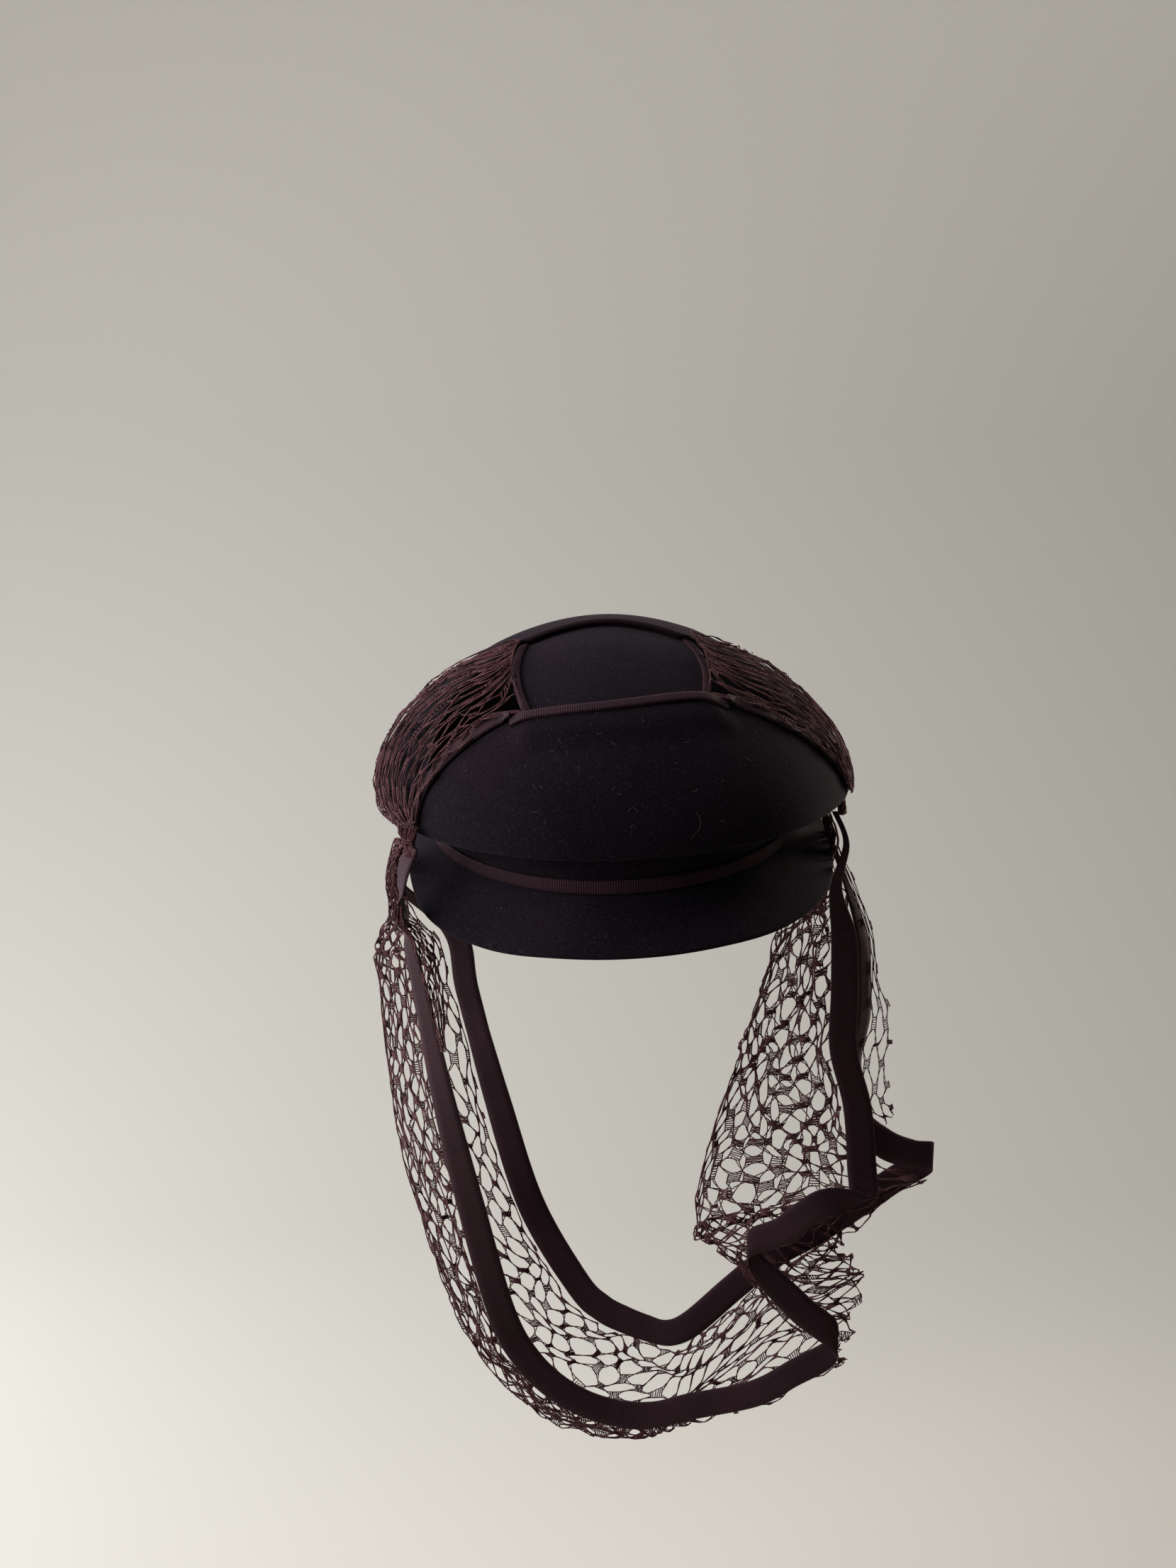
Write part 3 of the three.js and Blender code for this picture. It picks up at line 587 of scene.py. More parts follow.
def crescent(share, level, lift):
    turn = mix(CORNER_TURN["right"], CORNER_TURN["left"], share)
    at, down = down_column(crescent_edge(share), turn, level)
    over = CRESCENT_LAP * raised(share, PANEL_FRONT, down, LAP_DEPTH)
    p = on_crown(at[..., 0], at[..., 1], over + lift)
    # the front is tucked under less deeply than the back
    below = np.minimum(p[..., 2] - CROWN_WIDEST, 0)
    p[..., 2] -= FRONT_TUCK * below * np.sin(math.pi * np.clip(share, 0, 1)) ** TUCK_ROUND
    return p


def back_of_crown(share, level, lift):
    turn = mix(CORNER_TURN["right"] - SEAM_TURN, CORNER_TURN["left"] + SEAM_TURN - 360, share)
    at, down = down_column(back_edge(share), turn, level)
    over = RIDGE_RISE * raised(share, PANEL_BACK, down, RIDGE_DEPTH)
    return on_crown(at[..., 0], at[..., 1], over + lift)


def panel_chart(share, back):
    share, back = np.broadcast_arrays(share, back)
    front = crescent_edge(mix(*PANEL_FRONT, share))
    rear = back_edge(mix(*PANEL_BACK, share))
    bulge = (2 * share - 1) * PANEL_BULGE * np.sin(math.pi * back)
    across = mix(front[..., 0], rear[..., 0], back) + bulge
    return across, mix(front[..., 1] - PANEL_LAP, rear[..., 1] + PANEL_LAP, back)


def panel(share, back, lift):
    return on_crown(*panel_chart(share, back), lift)


felt_wall("felt_crescent", crescent, along=180, down=48, stands_for=["front_crescent"])
felt_wall("felt_back", back_of_crown, along=200, down=48, stands_for=["back_crown"])
felt_wall("felt_panel", panel, along=60, down=60, stands_for=["centre_panel"])

# %% [markdown]
# ## Band wall and brim
# The band wall is an upright oval, and the brim springs from its foot: broad and steep in front,
# and running out to nothing behind the sides. A flat ring bent by a modifier would stretch, so
# the brim is swept from the oval, with its width and its slope read from a short table.

# %% Band wall and brim
def band_wall(share, level, lift):
    return on_oval(360 * share, lift, BASE_HEIGHT * level)


# share of the full width, and slope in degrees, from the middle in front to the end
brim_shape = through([
    [1, 45], [1.02, 44], [1.06, 42], [0.97, 38], [0.61, 30], [0.32, 18], [0.06, 10],
])
BRIM_ROOT, ROOT_EASE, SLOPE_EASE = 1.2, 8, 4
FIRST_DROP, FULL_DROP_AT = 0.75, 0.35


def brim(share, out, lift):
    share, out, lift = np.broadcast_arrays(share, out, lift)
    turn = -90 + BRIM_REACH * (2 * share - 1)
    shape = brim_shape(np.abs(2 * share - 1))
    width, angle = shape[..., 0], np.radians(shape[..., 1])
    reach = BRIM_WIDTH * width * out - BRIM_ROOT * (1 - smooth(out * ROOT_EASE))
    root = on_oval(turn, ON_FELT, 0.0)
    away = unit(on_oval(turn, ON_FELT + 1, 0.0) - root)
    sunk, sloped = FELT - lift, smooth(out * SLOPE_EASE)
    flare = np.cos(angle) * reach - np.sin(angle) * sunk * sloped
    drop = np.sin(angle) * reach * mix(FIRST_DROP, 1, smooth(out / FULL_DROP_AT))
    p = root + away * flare[..., None]
    p[..., 2] -= drop + sunk * mix(1, np.cos(angle), sloped)
    return p


felt_wall("felt_band", band_wall, along=160, down=10, stands_for=["crown_base"], ring=True)
felt_wall("felt_brim", brim, along=200, down=36, stands_for=["brim"])

# %% [markdown]
# ## Ribbed ribbon
# The bindings, the band's ribbon and the veil's ribbons are petersham: fine cross ribs about a
# millimetre apart that end in a toothed edge. A bump map would give flat edges, so each rib is
# swept as real relief, four sections to a rib, and the grooves are marked so that the material
# paints shade into them.

# %% Sweep a ribbed ribbon
RIB_PITCH = 1.05
RIB_STEPS = 4
RIB_DEPTH = 0.22
FINE_STEPS = 3001
TOOTH, FULL_TOOTH_WIDTH, LEAST_TOOTH = 0.28, 8, 0.35


def run_of(points):
    # the distance walked along a line, at each of its points
    return np.concatenate([[0], np.cumsum(np.linalg.norm(np.diff(points, axis=0), axis=1))])


def ribbed_ribbon(name, place, section, stands_for, columns=5, ring=False, crest=None):
    # place(share) gives centre, across and out; section(share) gives near, far, under, over
    fine = np.linspace(0, 1, FINE_STEPS)
    centre, side, _ = place(fine)
    near, far, _, _ = section(fine)
    middle = centre + side * ((near + far) / 2)[:, None]
    run = run_of(middle)
    steps = max(int(round(run[-1] / RIB_PITCH)), 4) * RIB_STEPS
    share = np.interp(np.linspace(0, run[-1], steps + 1), run, fine)[:steps if ring else steps + 1]
    rib = 0.5 + 0.5 * np.cos(2 * math.pi * np.arange(len(share)) / RIB_STEPS)
    at, across, out = place(share)
    near, far, under, over = section(share)
    tooth = TOOTH * (rib - 0.5) * np.clip((far - near) / FULL_TOOTH_WIDTH, LEAST_TOOTH, 1)
    sunk = RIB_DEPTH * (1 - rib)
    width = np.linspace(0, 1, columns)
    a = mix((near - tooth)[:, None], (far + tooth)[:, None], width[None, :])
    swell = 0 if crest is None else crest * np.sin(math.pi * width)[None, :]
    top = (over - sunk)[:, None] + swell * np.ones_like(a)
    bottom = (under + sunk)[:, None] * np.ones_like(a)
    section_across = np.concatenate([a, a[:, ::-1]], axis=1)
    section_out = np.concatenate([top, bottom], axis=1)
    points = (
        at[:, None] + across[:, None] * section_across[..., None]
        + out[:, None] * section_out[..., None]
    )
    count, size = section_across.shape
    faces = ring_faces(count, size, ring)
    if not ring:
        for start, flip in ((0, False), ((count - 1) * size, True)):
            for k in range(columns - 1):
                face = [start + v for v in (k, size - 1 - k, size - 2 - k, k + 1)]
                faces.append(face[::-1] if flip else face)
    # marks the grooves, where the material paints shade between the ribs
    groove = np.repeat((1 - rib) ** 2, size)
    piece = new_piece(name, points, faces, ribbon, stands_for, groove)
    print(f"  {run[-1]:.0f} mm long, {steps // RIB_STEPS} ribs")
    return piece, run[-1]


# %% Where a ribbon lies
def lying(surface):
    # a ribbon that lies on surface(share, lift), across the way it runs
    def place(share):
        step = 1e-3
        at = surface(share, 0.0)
        out = unit(surface(share, 1.0) - at)
        ahead, behind = np.minimum(share + step, 1), np.maximum(share - step, 0)
        along = surface(ahead, 0.0) - surface(behind, 0.0)
        across = unit(np.cross(out, along))
        return worn(at), worn(across), worn(out)

    return place


def strip(near, far, under, over):
    return lambda share: tuple(np.full(np.shape(share), float(v)) for v in (near, far, under, over))


# %% [markdown]
# ## Bindings and the band's ribbon
# Narrow petersham covers the crescent's cut edge and the panel's two sides, and a wider strip
# runs round the foot of the band. Each follows an edge that is already drawn, so the ribbon is
# swept along that edge and laid on the felt, slightly swollen in its middle as a folded one is.

# %% The bindings
PROUD, SWELL = 0.6, 0.1
ribbed_ribbon(
    "binding_crescent",
    lying(lambda share, lift: crescent(
        mix(CRESCENT_BOUND[0] - BOUND_END, CRESCENT_BOUND[1] + BOUND_END, share),
        np.zeros_like(share), lift,
    )),
    strip(-BINDING_WIDTH, PROUD, ON_FELT - GAP, ON_FELT + RIBBON), ["crescent_binding"],
    crest=SWELL,
)
for name, side in (("right", 0.0), ("left", 1.0)):
    inner = BINDING_WIDTH - PROUD
    reach = (-PROUD, inner) if side else (-inner, PROUD)
    ribbed_ribbon(
        f"binding_panel_{name}",
        lying(lambda share, lift: panel(side, mix(*PANEL_SIDE, share), lift)),
        strip(*reach, ON_FELT - GAP, ON_FELT + RIBBON), [f"panel_binding_{name}"], crest=SWELL,
    )


# %% The band's ribbon
def band_place(share):
    step = 1e-3
    at = on_oval(360 * share, 0.0, 0.0)
    along = on_oval(360 * (share + step), 0.0, 0.0) - on_oval(360 * (share - step), 0.0, 0.0)
    up = np.zeros_like(at)
    up[..., 2] = 1
    return worn(at), worn(up), worn(unit(np.cross(along, up)))


ribbed_ribbon(
    "band_ribbon", band_place,
    strip(GAP, BAND_HEIGHT, ON_FELT - GAP, ON_FELT + RIBBON), ["hatband"], ring=True,
)

# %% [markdown]
# ## Rolled ridge
# Along the top of the back a strip of ribbon is rolled over the felt's raised edge. It is a round
# bead rather than a flat strip, so it is swept from a half round section with the same ribs. It
# takes a darker copy of the ribbon's finish, a painted shade for the shade the roll lies in.

# %% The ridge's roll
ROLL_PROUD = 0.8
ROLL_SIDES, ROLL_STEPS = 10, 1201
END_SIZE, END_EASE = 0.3, 14


def ridge_roll():
    fine = np.linspace(0, 1, ROLL_STEPS)
    place = lying(lambda share, lift: on_crown(
        *back_edge(mix(*RIDGE_BOUND, share)).T, lift,
    ))
    run = run_of(place(fine)[0])
    steps = int(run[-1] / RIB_PITCH) * RIB_STEPS
    share = np.interp(np.linspace(0, run[-1], steps + 1), run, fine)
    at, across, out = place(share)
    rib = 0.5 + 0.5 * np.cos(2 * math.pi * np.arange(steps + 1) / RIB_STEPS)
    angle = math.pi * (np.linspace(0, 1, ROLL_SIDES + 1) - 0.5)
    ends = mix(END_SIZE, 1, smooth(np.minimum(share, 1 - share) * END_EASE))[:, None]
    top = FELT + RIDGE_RISE + ROLL_PROUD
    a = -(GAP + (ROLL_WIDTH * ends - RIB_DEPTH * (1 - rib)[:, None]) * np.cos(angle))
    o = mix(ON_FELT, top, 0.5 + 0.5 * np.sin(angle))[None, :] * np.ones_like(a)
    points = at[:, None] + across[:, None] * a[..., None] + out[:, None] * o[..., None]
    count, size = a.shape
    faces = ring_faces(count, size, False)
    faces += [list(range(size))[::-1], [(count - 1) * size + k for k in range(size)]]
    # marks the grooves, where the material paints shade between the ribs
    groove = np.repeat(1 - rib, size)
    # the darker ribbon copy paints the shade that the roll lies in
    return new_piece(
        "rolled_ridge", points, faces, shaded_ribbon, ["ridge_roll"], groove,
    )


ridge_roll()

# %% [markdown]
# ## The veil's path
# The veil hangs from the crown's two corners and loops round behind. A row of the table is a
# section through it: the front ribbon, the net's fold and the rear ribbon. The rows are read as
# one smooth curve, and both ribbons and the net are placed from it. A cloth simulation would
# fall some other way each time, and these folds were laid one by one.

# %% Where the veil is sewn to the crown
GATHER_FROM_TOP, GATHER_CLEAR = 94.0, 7 * GAP
GATHER_LIFT = OVER_FELT + NET + GATHER_CLEAR + GATHER_DEPTH / 2


def gather_place(turn):
    angle = math.radians(turn)
    across, back = GATHER_FROM_TOP * math.cos(angle), GATHER_FROM_TOP * math.sin(angle)
    at = on_crown(across, back, GATHER_LIFT)
    at[2] += GATHER_HEIGHT / 3
    out = on_crown(across, back, 1.0) - on_crown(across, back, 0.0)
    out[2] = 0
    out = unit(out)
    return worn(at), out, np.array([-out[1], out[0], 0])


gather_at = {side: gather_place(turn) for side, turn in CORNER_TURN.items()}
hang = {}
for side, (at, _, _) in gather_at.items():
    hang[side] = at - [0, 0, GATHER_HEIGHT / 2 + GAP + RIBBON / 2]
hang["middle"] = (hang["right"] + hang["left"]) / 2
print("sewn at:", {side: at.round(1).tolist() for side, at in hang.items()})

# %% Sections through the hanging veil
# x, y and down are from the place above, in crown widths, crown depths and whole drops
FALL = {
    # x, y, down, lean, width | x, y, down | x, y, down, lean, width
    "right": [
        [0, -0.045, 0, -8, 0.5, -0.07, 0.06, 0.004, 0, 0.012, 0, -4, 0.42],
        [-0.034, 0.032, 0.028, -25, 1, -0.146, 0.392, 0.039, -0.108, 0.333, 0.007, -10, 0.6],
        [-0.065, 0.052, 0.083, 4, 1, -0.183, 0.663, 0.122, -0.091, 0.586, 0.079, -8, 0.7],
        [-0.022, 0.1, 0.145, 18, 0.9, -0.181, 0.955, 0.21, 0.095, 0.916, 0.182, 8, 0.9],
        [0.022, 0.178, 0.224, 13, 0.9, -0.167, 1.178, 0.304, 0.228, 1.11, 0.299, 12, 1],
        [0.106, 0.421, 0.405, 12, 1, -0.128, 1.362, 0.479, 0.365, 1.294, 0.504, 20, 1],
        [0.221, 0.751, 0.616, 16, 1, -0.029, 1.401, 0.668, 0.524, 1.362, 0.699, 34, 1],
        [0.372, 1.071, 0.854, 28, 1, 0.2, 1.43, 0.907, 0.747, 1.382, 0.847, 52, 1],
    ],
    "middle": [
        [-0.418, 1.051, 0.975, 46, 1, -0.538, 1.303, 1.022, -0.062, 1.245, 0.907, 64, 1],
        [-0.235, 1.09, 1.042, 66, 1, -0.299, 1.303, 1.104, 0.045, 1.226, 0.927, 76, 1],
        [-0.031, 1.109, 1.078, 82, 1, -0.026, 1.284, 1.133, 0.153, 1.206, 0.941, 88, 1],
        [0.164, 1.09, 1.083, 94, 1, 0.212, 1.245, 1.12, 0.252, 1.167, 0.945, 104, 1],
    ],
    "left": [
        [-0.578, 0.924, 1.08, 104, 1, -0.526, 1.089, 1.074, -0.567, 1.011, 0.941, 124, 1],
        [-0.295, 0.836, 1.048, 112, 1, -0.312, 1.031, 0.99, -0.384, 0.963, 0.875, 126, 1],
        [-0.124, 0.768, 1.005, 108, 1, -0.08, 0.992, 0.923, -0.19, 0.914, 0.809, 122, 1],
        [0.082, 0.71, 0.945, 90, 1.05, 0.207, 0.856, 0.844, -0.015, 0.875, 0.768, 118, 1],
        [-0.117, 0.623, 0.865, 48, 1, -0.106, 0.836, 0.826, 0.145, 0.836, 0.725, 116, 1],
        [-0.365, 0.535, 0.753, 90, 0.9, -0.512, 0.807, 0.735, 0.355, 0.788, 0.666, 108, 1],
        [-0.213, 0.448, 0.709, 118, 1, -0.564, 0.817, 0.762, 0.514, 0.71, 0.621, 90, 1],
        [-0.053, 0.37, 0.657, 116, 1, -0.562, 0.836, 0.739, 0.4, 0.642, 0.606, 74, 1],
        [0.127, 0.409, 0.658, 12, 1.05, -0.566, 0.807, 0.68, 0.268, 0.565, 0.575, 60, 1],
        [0.133, 0.458, 0.599, 2, 1, -0.522, 0.739, 0.589, 0.17, 0.506, 0.51, 30, 1],
        [0.091, 0.409, 0.497, 0, 1, -0.437, 0.652, 0.474, 0.122, 0.438, 0.429, 10, 0.8],
        [0.021, 0.302, 0.392, 0, 1, -0.376, 0.565, 0.387, 0.126, 0.37, 0.352, 0, 0.8],
        [0.007, 0.205, 0.291, 0, 1, -0.327, 0.487, 0.305, 0.115, 0.293, 0.276, -6, 0.8],
        [-0.014, 0.108, 0.192, 0, 0.9, -0.225, 0.467, 0.203, 0.071, 0.205, 0.195, -12, 0.8],
        [-0.038, 0.021, 0.117, -2, 0.45, 0.024, 0.565, 0.157, 0.031, 0.137, 0.111, -20, 0.7],
        [-0.033, -0.057, 0.047, -6, 0.42, -0.002, 0.312, 0.076, 0.017, 0.04, 0.045, -10, 0.6],
        [0, -0.045, 0, 0, 0.45, -0.07, 0.06, 0.004, 0, 0.012, 0, 0, 0.42],
    ],
}


FRONT, FOLD, REAR = 0, 5, 8
LEAN, WIDE = 3, 4


def hung(side):
    rows = np.array(FALL[side], float)
    scale = np.array([CROWN_WIDE, CROWN_DEEP, -VEIL_DROP])
    for first in (FRONT, FOLD, REAR):
        rows[:, first:first + 3] = hang[side] + rows[:, first:first + 3] * scale
    return rows


veil_rows = np.concatenate([hung(side) for side in ("right", "middle", "left")])
VEIL_STEPS = len(veil_rows) - 1
print("sections:", len(veil_rows))

# %% [markdown]
# ## Drawn in at the corners
# Near the corners the real ribbons and net are crowded together and folded small, more than
# their solids show. The whole table could be typed again, but a second short one that moves only
# the crowded sections, in millimetres, keeps the rest exactly in its solid.

# %% Move and narrow the crowded sections
TUCKED_IN = [
    # section | aside, back, up of the front ribbon, the net and the rear ribbon | two widths
    (0, (0, 0, 4), (4, 0, 4), (0, 0, 3), 0.42, 0.25),
    (1, (-1, 0, 1), (4, 0, 2), (8, 0, 0), 0.85, 0.50),
    (2, (1, 0, 0), (1, 0, 0), (2, 0, 0), 1.00, 0.60),
    (3, (0, 0, 0), (0, 0, 0), (8, 0, 0), 0.90, 0.90),
    (20, (0, 0, 0), (0, 0, 0), (-1, 0, -1), 1.05, 1.00),
    (21, (0.5, 0, 0), (0, 0, 0), (-4.5, 3, -6), 1.00, 0.95),
    (22, (1.5, 0, 0), (0, 0, 0), (-2.5, 4, -3), 1.00, 0.85),
    (23, (0, 0, 0), (0, 0, 0), (0, 4, 0), 1.00, 0.85),
    (24, (0, 0, 0), (0, 0, 0), (0, 4, 0), 1.00, 0.85),
    (25, (-0.5, 0, 0), (0, 0, 0), (1, 3, 0), 0.88, 0.80),
    (26, (-3.5, 0, 2), (-3, 0, 2), (-5, 0, 3), 0.42, 0.35),
    (27, (-1, 0, 3), (-5, 0, 3), (-12, 0, 3), 0.20, 0.22),
    (28, (-10, 0, 4), (-8, 0, 4), (-14, 0, 2), 0.18, 0.20),
]
for row, front, net, rear, front_wide, rear_wide in TUCKED_IN:
    for first, moved in ((FRONT, front), (FOLD, net), (REAR, rear)):
        veil_rows[row, first:first + 3] += moved
    veil_rows[row, [FRONT + WIDE, REAR + WIDE]] = front_wide, rear_wide
veil_section = through(veil_rows)
print("sections moved:", len(TUCKED_IN))

# %% [markdown]
# ## The veil's two ribbons
# Both ribbons run the whole way round with the net sewn to one edge. They hang in zigzag folds
# at one side, and near the corners they turn edge on, so that one face is lit and the other dark.
# The path gives the folds, and a table of angles turns the ribbon about its own length.

# %% The veil's ribbons
# how far each ribbon's face is turned to the wearer's right: section number, degrees
RIBBON_TURN = {
    FRONT: (
        [0, 1.0, 1.55, 1.8, 2.15, 2.45, 2.7, 2.9, 3.3, 4.1, 5, 6.2, 7.5, 21, 22.5, 26, 28],
        [50, 72, 80, 98, 114, 108, 84, 72, 64, 57, 44, 18, 0, 0, -14, -14, 0],
    ),
    REAR: (
        [0, 0.5, 1.6, 2.3, 3.2, 4.4, 6, 18.5, 20.5, 22, 25, 26, 27.5],
        [30, 62, 62, 20, 35, 40, 0, 0, -20, -46, -52, -44, 0],
    ),
}


def ribbon_place(column):
    def place(share):
        here = veil_section(share)
        step = 0.25 / VEIL_STEPS
        along = (veil_section(share + step) - veil_section(share - step))[..., column:column + 3]
        lean = np.radians(here[..., column + LEAN])
        turned = np.radians(np.interp(share * VEIL_STEPS, *RIBBON_TURN[column]))
        across = np.stack([
            np.cos(lean) * np.cos(turned), -np.cos(lean) * np.sin(turned), np.sin(lean),
        ], -1)
        return here[..., column:column + 3], across, unit(np.cross(along, across))

    return place


def ribbon_strip(column):
    def section(share):
        half = VEIL_RIBBON_WIDTH * veil_section(share)[..., column + WIDE] / 2
        level = np.full(np.shape(share), RIBBON / 2)
        return -half, half, -level, level

    return section


veil_front, front_length = ribbed_ribbon(
    "veil_front_ribbon", ribbon_place(FRONT), ribbon_strip(FRONT), ["veil_ribbon_front"],
)
veil_rear, rear_length = ribbed_ribbon(
    "veil_rear_ribbon", ribbon_place(REAR), ribbon_strip(REAR), ["veil_ribbon_back"],
)

# %% [markdown]
# ## Threaded net
# The net is a lattice of six-sided holes. Where two cells meet side by side the threads are
# woven into a small ladder with a few rungs, and between ladders run pairs of loose thread. Each
# thread is a thin three-sided tube, because a picture of a net on a flat sheet would have no
# thickness, no shadows and no real holes.

# %% Turn many short threads into one mesh
SIDES, UPRIGHT = 3, 0.9


def tubes(paths, radius):
    # paths holds many lines of equally many points; each becomes a closed tube
    paths = np.asarray(paths, float)
    count, size, _ = paths.shape
    along = unit(np.gradient(paths, axis=1))
    aside = np.where(np.abs(along[..., 2:]) > UPRIGHT, [[[1.0, 0, 0]]], [[[0, 0, 1.0]]])
    one = unit(np.cross(along, aside))
    two = np.cross(along, one)
    radius = np.broadcast_to(np.asarray(radius, float), (count, size))[..., None, None]
    angle = 2 * math.pi * np.arange(SIDES) / SIDES
    ring = (
        one[:, :, None] * np.cos(angle)[None, None, :, None]
        + two[:, :, None] * np.sin(angle)[None, None, :, None]
    )
    points = (paths[:, :, None] + radius * ring).reshape(-1, 3)
    first = (np.arange(count) * size * SIDES)[:, None, None]
    here = first + (np.arange(size - 1) * SIDES)[None, :, None]
    k = np.arange(SIDES)[None, None, :]
    turn = (k + 1) % SIDES
    quads = np.stack([here + k, here + turn, here + SIDES + turn, here + SIDES + k], -1)
    quads = quads.reshape(-1, 4)
    start = first[:, 0]
    last = start + (size - 1) * SIDES
    ends = np.concatenate([start + np.arange(SIDES)[::-1], last + np.arange(SIDES)])
    return points, quads, ends


def join_tubes(sets):
    points, faces, start = [], [], 0
    for p, quads, ends in sets:
        points.append(p)
        faces += (quads + start).tolist()
        faces += (ends + start).tolist()
        start += len(p)
    return np.concatenate(points), faces


thread_points, _, _ = tubes([[[0, 0, 0], [1, 0, 0]]], 0.1)
print("a straight thread has", len(thread_points), "points")

# %% [markdown]
# ## The net's lattice
# The lattice is worked out flat, in cells along and across, and a placing function then lays it
# in space. A modifier could repeat one cell, but then all holes would be alike. Here each corner
# is unsettled by a small random step, and the loose pairs bow apart by chance.

# %% Corners of six-sided holes
PULL = 0.27
SHAKE = (1, 0.6)


def lattice(along, across, seed, unrest):
    # every corner of the lattice as a place in cells, unsettled a little
    rng = np.random.default_rng(seed)
    r, m = np.meshgrid(np.arange(along + 1), np.arange(2 * across + 1), indexing="ij")
    up = (r + m) % 2 == 0
    at = np.stack([r + np.where(up, PULL, -PULL), m / 2], -1)
    at = at + rng.uniform(-unrest, unrest, at.shape) * SHAKE
    return at, up


print("each row of corners zigzags:", lattice(2, 3, 0, 0.0)[0][..., 0].round(2).tolist())

# %% Ladders and loose pairs
RUNGS, FIRST_RUNG, RUNG_RUN, RUNG_TILT = 6, 0.06, 0.88, 0.03
PAIR_RISE, PAIR_NARROW, BOW_POINTS, BOW_REACH = 0.08, 0.2, 4, 8
BOW = (-0.02, 0.1)
RUNG_SIZE, LOOSE_SIZE = 0.95, 0.9


def net_threads(place, along, across, seed, unrest=0.16, radius=0.36, half=0.18):
    """Threads of a net that place(i, j) lays in space, with i and j in cells."""
    at, up = lattice(along, across, seed, unrest)
    rng = np.random.default_rng(seed + 1)
    side = np.array([0, half])
    # woven ladders stand from each raised corner to the next row
    low, high = at[:-1][up[:-1]], at[1:][up[:-1]]
    rails = [np.stack([low + way * side, high + way * side], 1) for way in (-1, 1)]
    rungs = []
    for k in range(RUNGS):
        middle = mix(low, high, FIRST_RUNG + RUNG_RUN * k / (RUNGS - 1))
        tilt = rng.uniform(-RUNG_TILT, RUNG_TILT, (len(low), 1)) * [1, 0]
        rungs.append(np.stack([middle - side - tilt, middle + side + tilt], 1))
    # loose pairs run from ladder to ladder along each row's zigzag
    left, right = at[:, :-1], at[:, 1:]
    rise = np.where(up[:, :-1], 1, -1)[..., None] * [PAIR_RISE, 0]
    near = PAIR_NARROW * side
    pairs = [(left + side, right - side), (left + near + rise, right - near - rise)]
    part = np.linspace(0, 1, BOW_POINTS)[None, :, None]
    aside = BOW_REACH * np.repeat(rise.reshape(-1, 1, 2), BOW_POINTS, axis=1)
    loose = []
    for way, (start, end) in zip((-1, 1), pairs):
        run = mix(start.reshape(-1, 1, 2), end.reshape(-1, 1, 2), part)
        bow = rng.uniform(*BOW, (len(run), 1, 1)) * np.sin(math.pi * part)
        loose.append(run + way * aside * bow)

    def laid(paths):
        paths = np.concatenate(paths)
        return place(paths[..., 0], paths[..., 1])

    return [
        tubes(laid(rails), radius), tubes(laid(rungs), RUNG_SIZE * radius),
        tubes(laid(loose), LOOSE_SIZE * radius),
    ]


# %% [markdown]
# ## The veil's net in space
# The net is one sheet, folded at the back, that runs from the front ribbon round to the rear one.
# Where the veil is narrow there is more net than room, so it lies in pleats, and where the fold
# stands out widest its cells are pulled open. Its rows are spread evenly along the veil and laid
# between the ribbons, and the spare width sets how deep it pleats.

# %% The surface that the net lies on
CELL_WIDE, ROW_HIGH = 12.0, 10.0
CELLS_ACROSS = 12
SEAM, TURNED_SEAM, BEHIND, FACING = 1.2, 4.0, 3 * NET, 2.5


def beside_ribbon(share, column, behind):
    # the line where the net meets a ribbon's edge, further off where the ribbon is edge on
    at, across, out = ribbon_place(column)(share)
    width = veil_section(share)[..., column + WIDE]
    turned = 1 - np.abs(out[..., 1])
    reach = -VEIL_RIBBON_WIDTH * width / 2 - SEAM * (1 + TURNED_SEAM * turned)
    back = behind * np.clip(FACING * out[..., 1], -1, 1)
    return at + across * reach[..., None] + out * back[..., None]


def veil_point(share, across):
    ends = smooth(np.minimum(share, 1 - share) * VEIL_STEPS)
    a = beside_ribbon(share, FRONT, BEHIND * ends)
    b = veil_section(share)[..., FOLD:FOLD + 3]
    d = beside_ribbon(share, REAR, 0.0)
    place = np.clip(across, 0, 1) * 2
    second = (place >= 1)[..., None]
    part = (place - np.minimum(place.astype(int), 1))[..., None]
    return np.where(second, cubic(a, b, d, d, part), cubic(a, a, b, d, part))


halfway = np.array([0.5])
print("halfway round, the net's fold is at", veil_point(halfway, halfway).round(1).tolist())

# %% Measure the net
SHARE_STEPS, GIRTH_LINES = 1501, 21
shares = np.linspace(0, 1, SHARE_STEPS)


def veil_line(across):
    return veil_point(shares, np.full_like(shares, across))


veil_run = sum(run_of(veil_line(a)) for a in (0, 0.25, 0.5, 0.75, 1)) / 5
CELLS_ALONG = int(round(veil_run[-1] / ROW_HIGH))
lines = np.stack([veil_line(a) for a in np.linspace(0, 1, GIRTH_LINES)])
girth = np.linalg.norm(np.diff(lines, axis=0), axis=2).sum(0)
print(f"net: {veil_run[-1]:.0f} mm long in {CELLS_ALONG} rows")
print(f"     {girth.min():.0f} to {girth.max():.0f} mm across")

# %% Lay the net
# how far cells drift along and across, over which distance, and the seed
DRIFT_ALONG, DRIFT_ACROSS = (0.35, 13, 17), (0.30, 11, 18)
CELL_SPREAD = (3.1, 4.3)
PLEATS, PLEAT_SWAY, PLEAT_TURNS = 6.5, 0.8, 31
LEAST_PLEAT, SPARE_PLEAT, END_PLEAT, CORNER_EASE = 0.6, 5.0, 0.3, 1.5
PUCKER, PUCKER_LENGTH, PUCKER_SEED = 0.9, 23, 5
# what is left of the net's spread at the first and last corner, and how many sections it holds
DRAWN_IN, DRAWN_FOR = (0.5, 0.1), (1.8, 0.9)


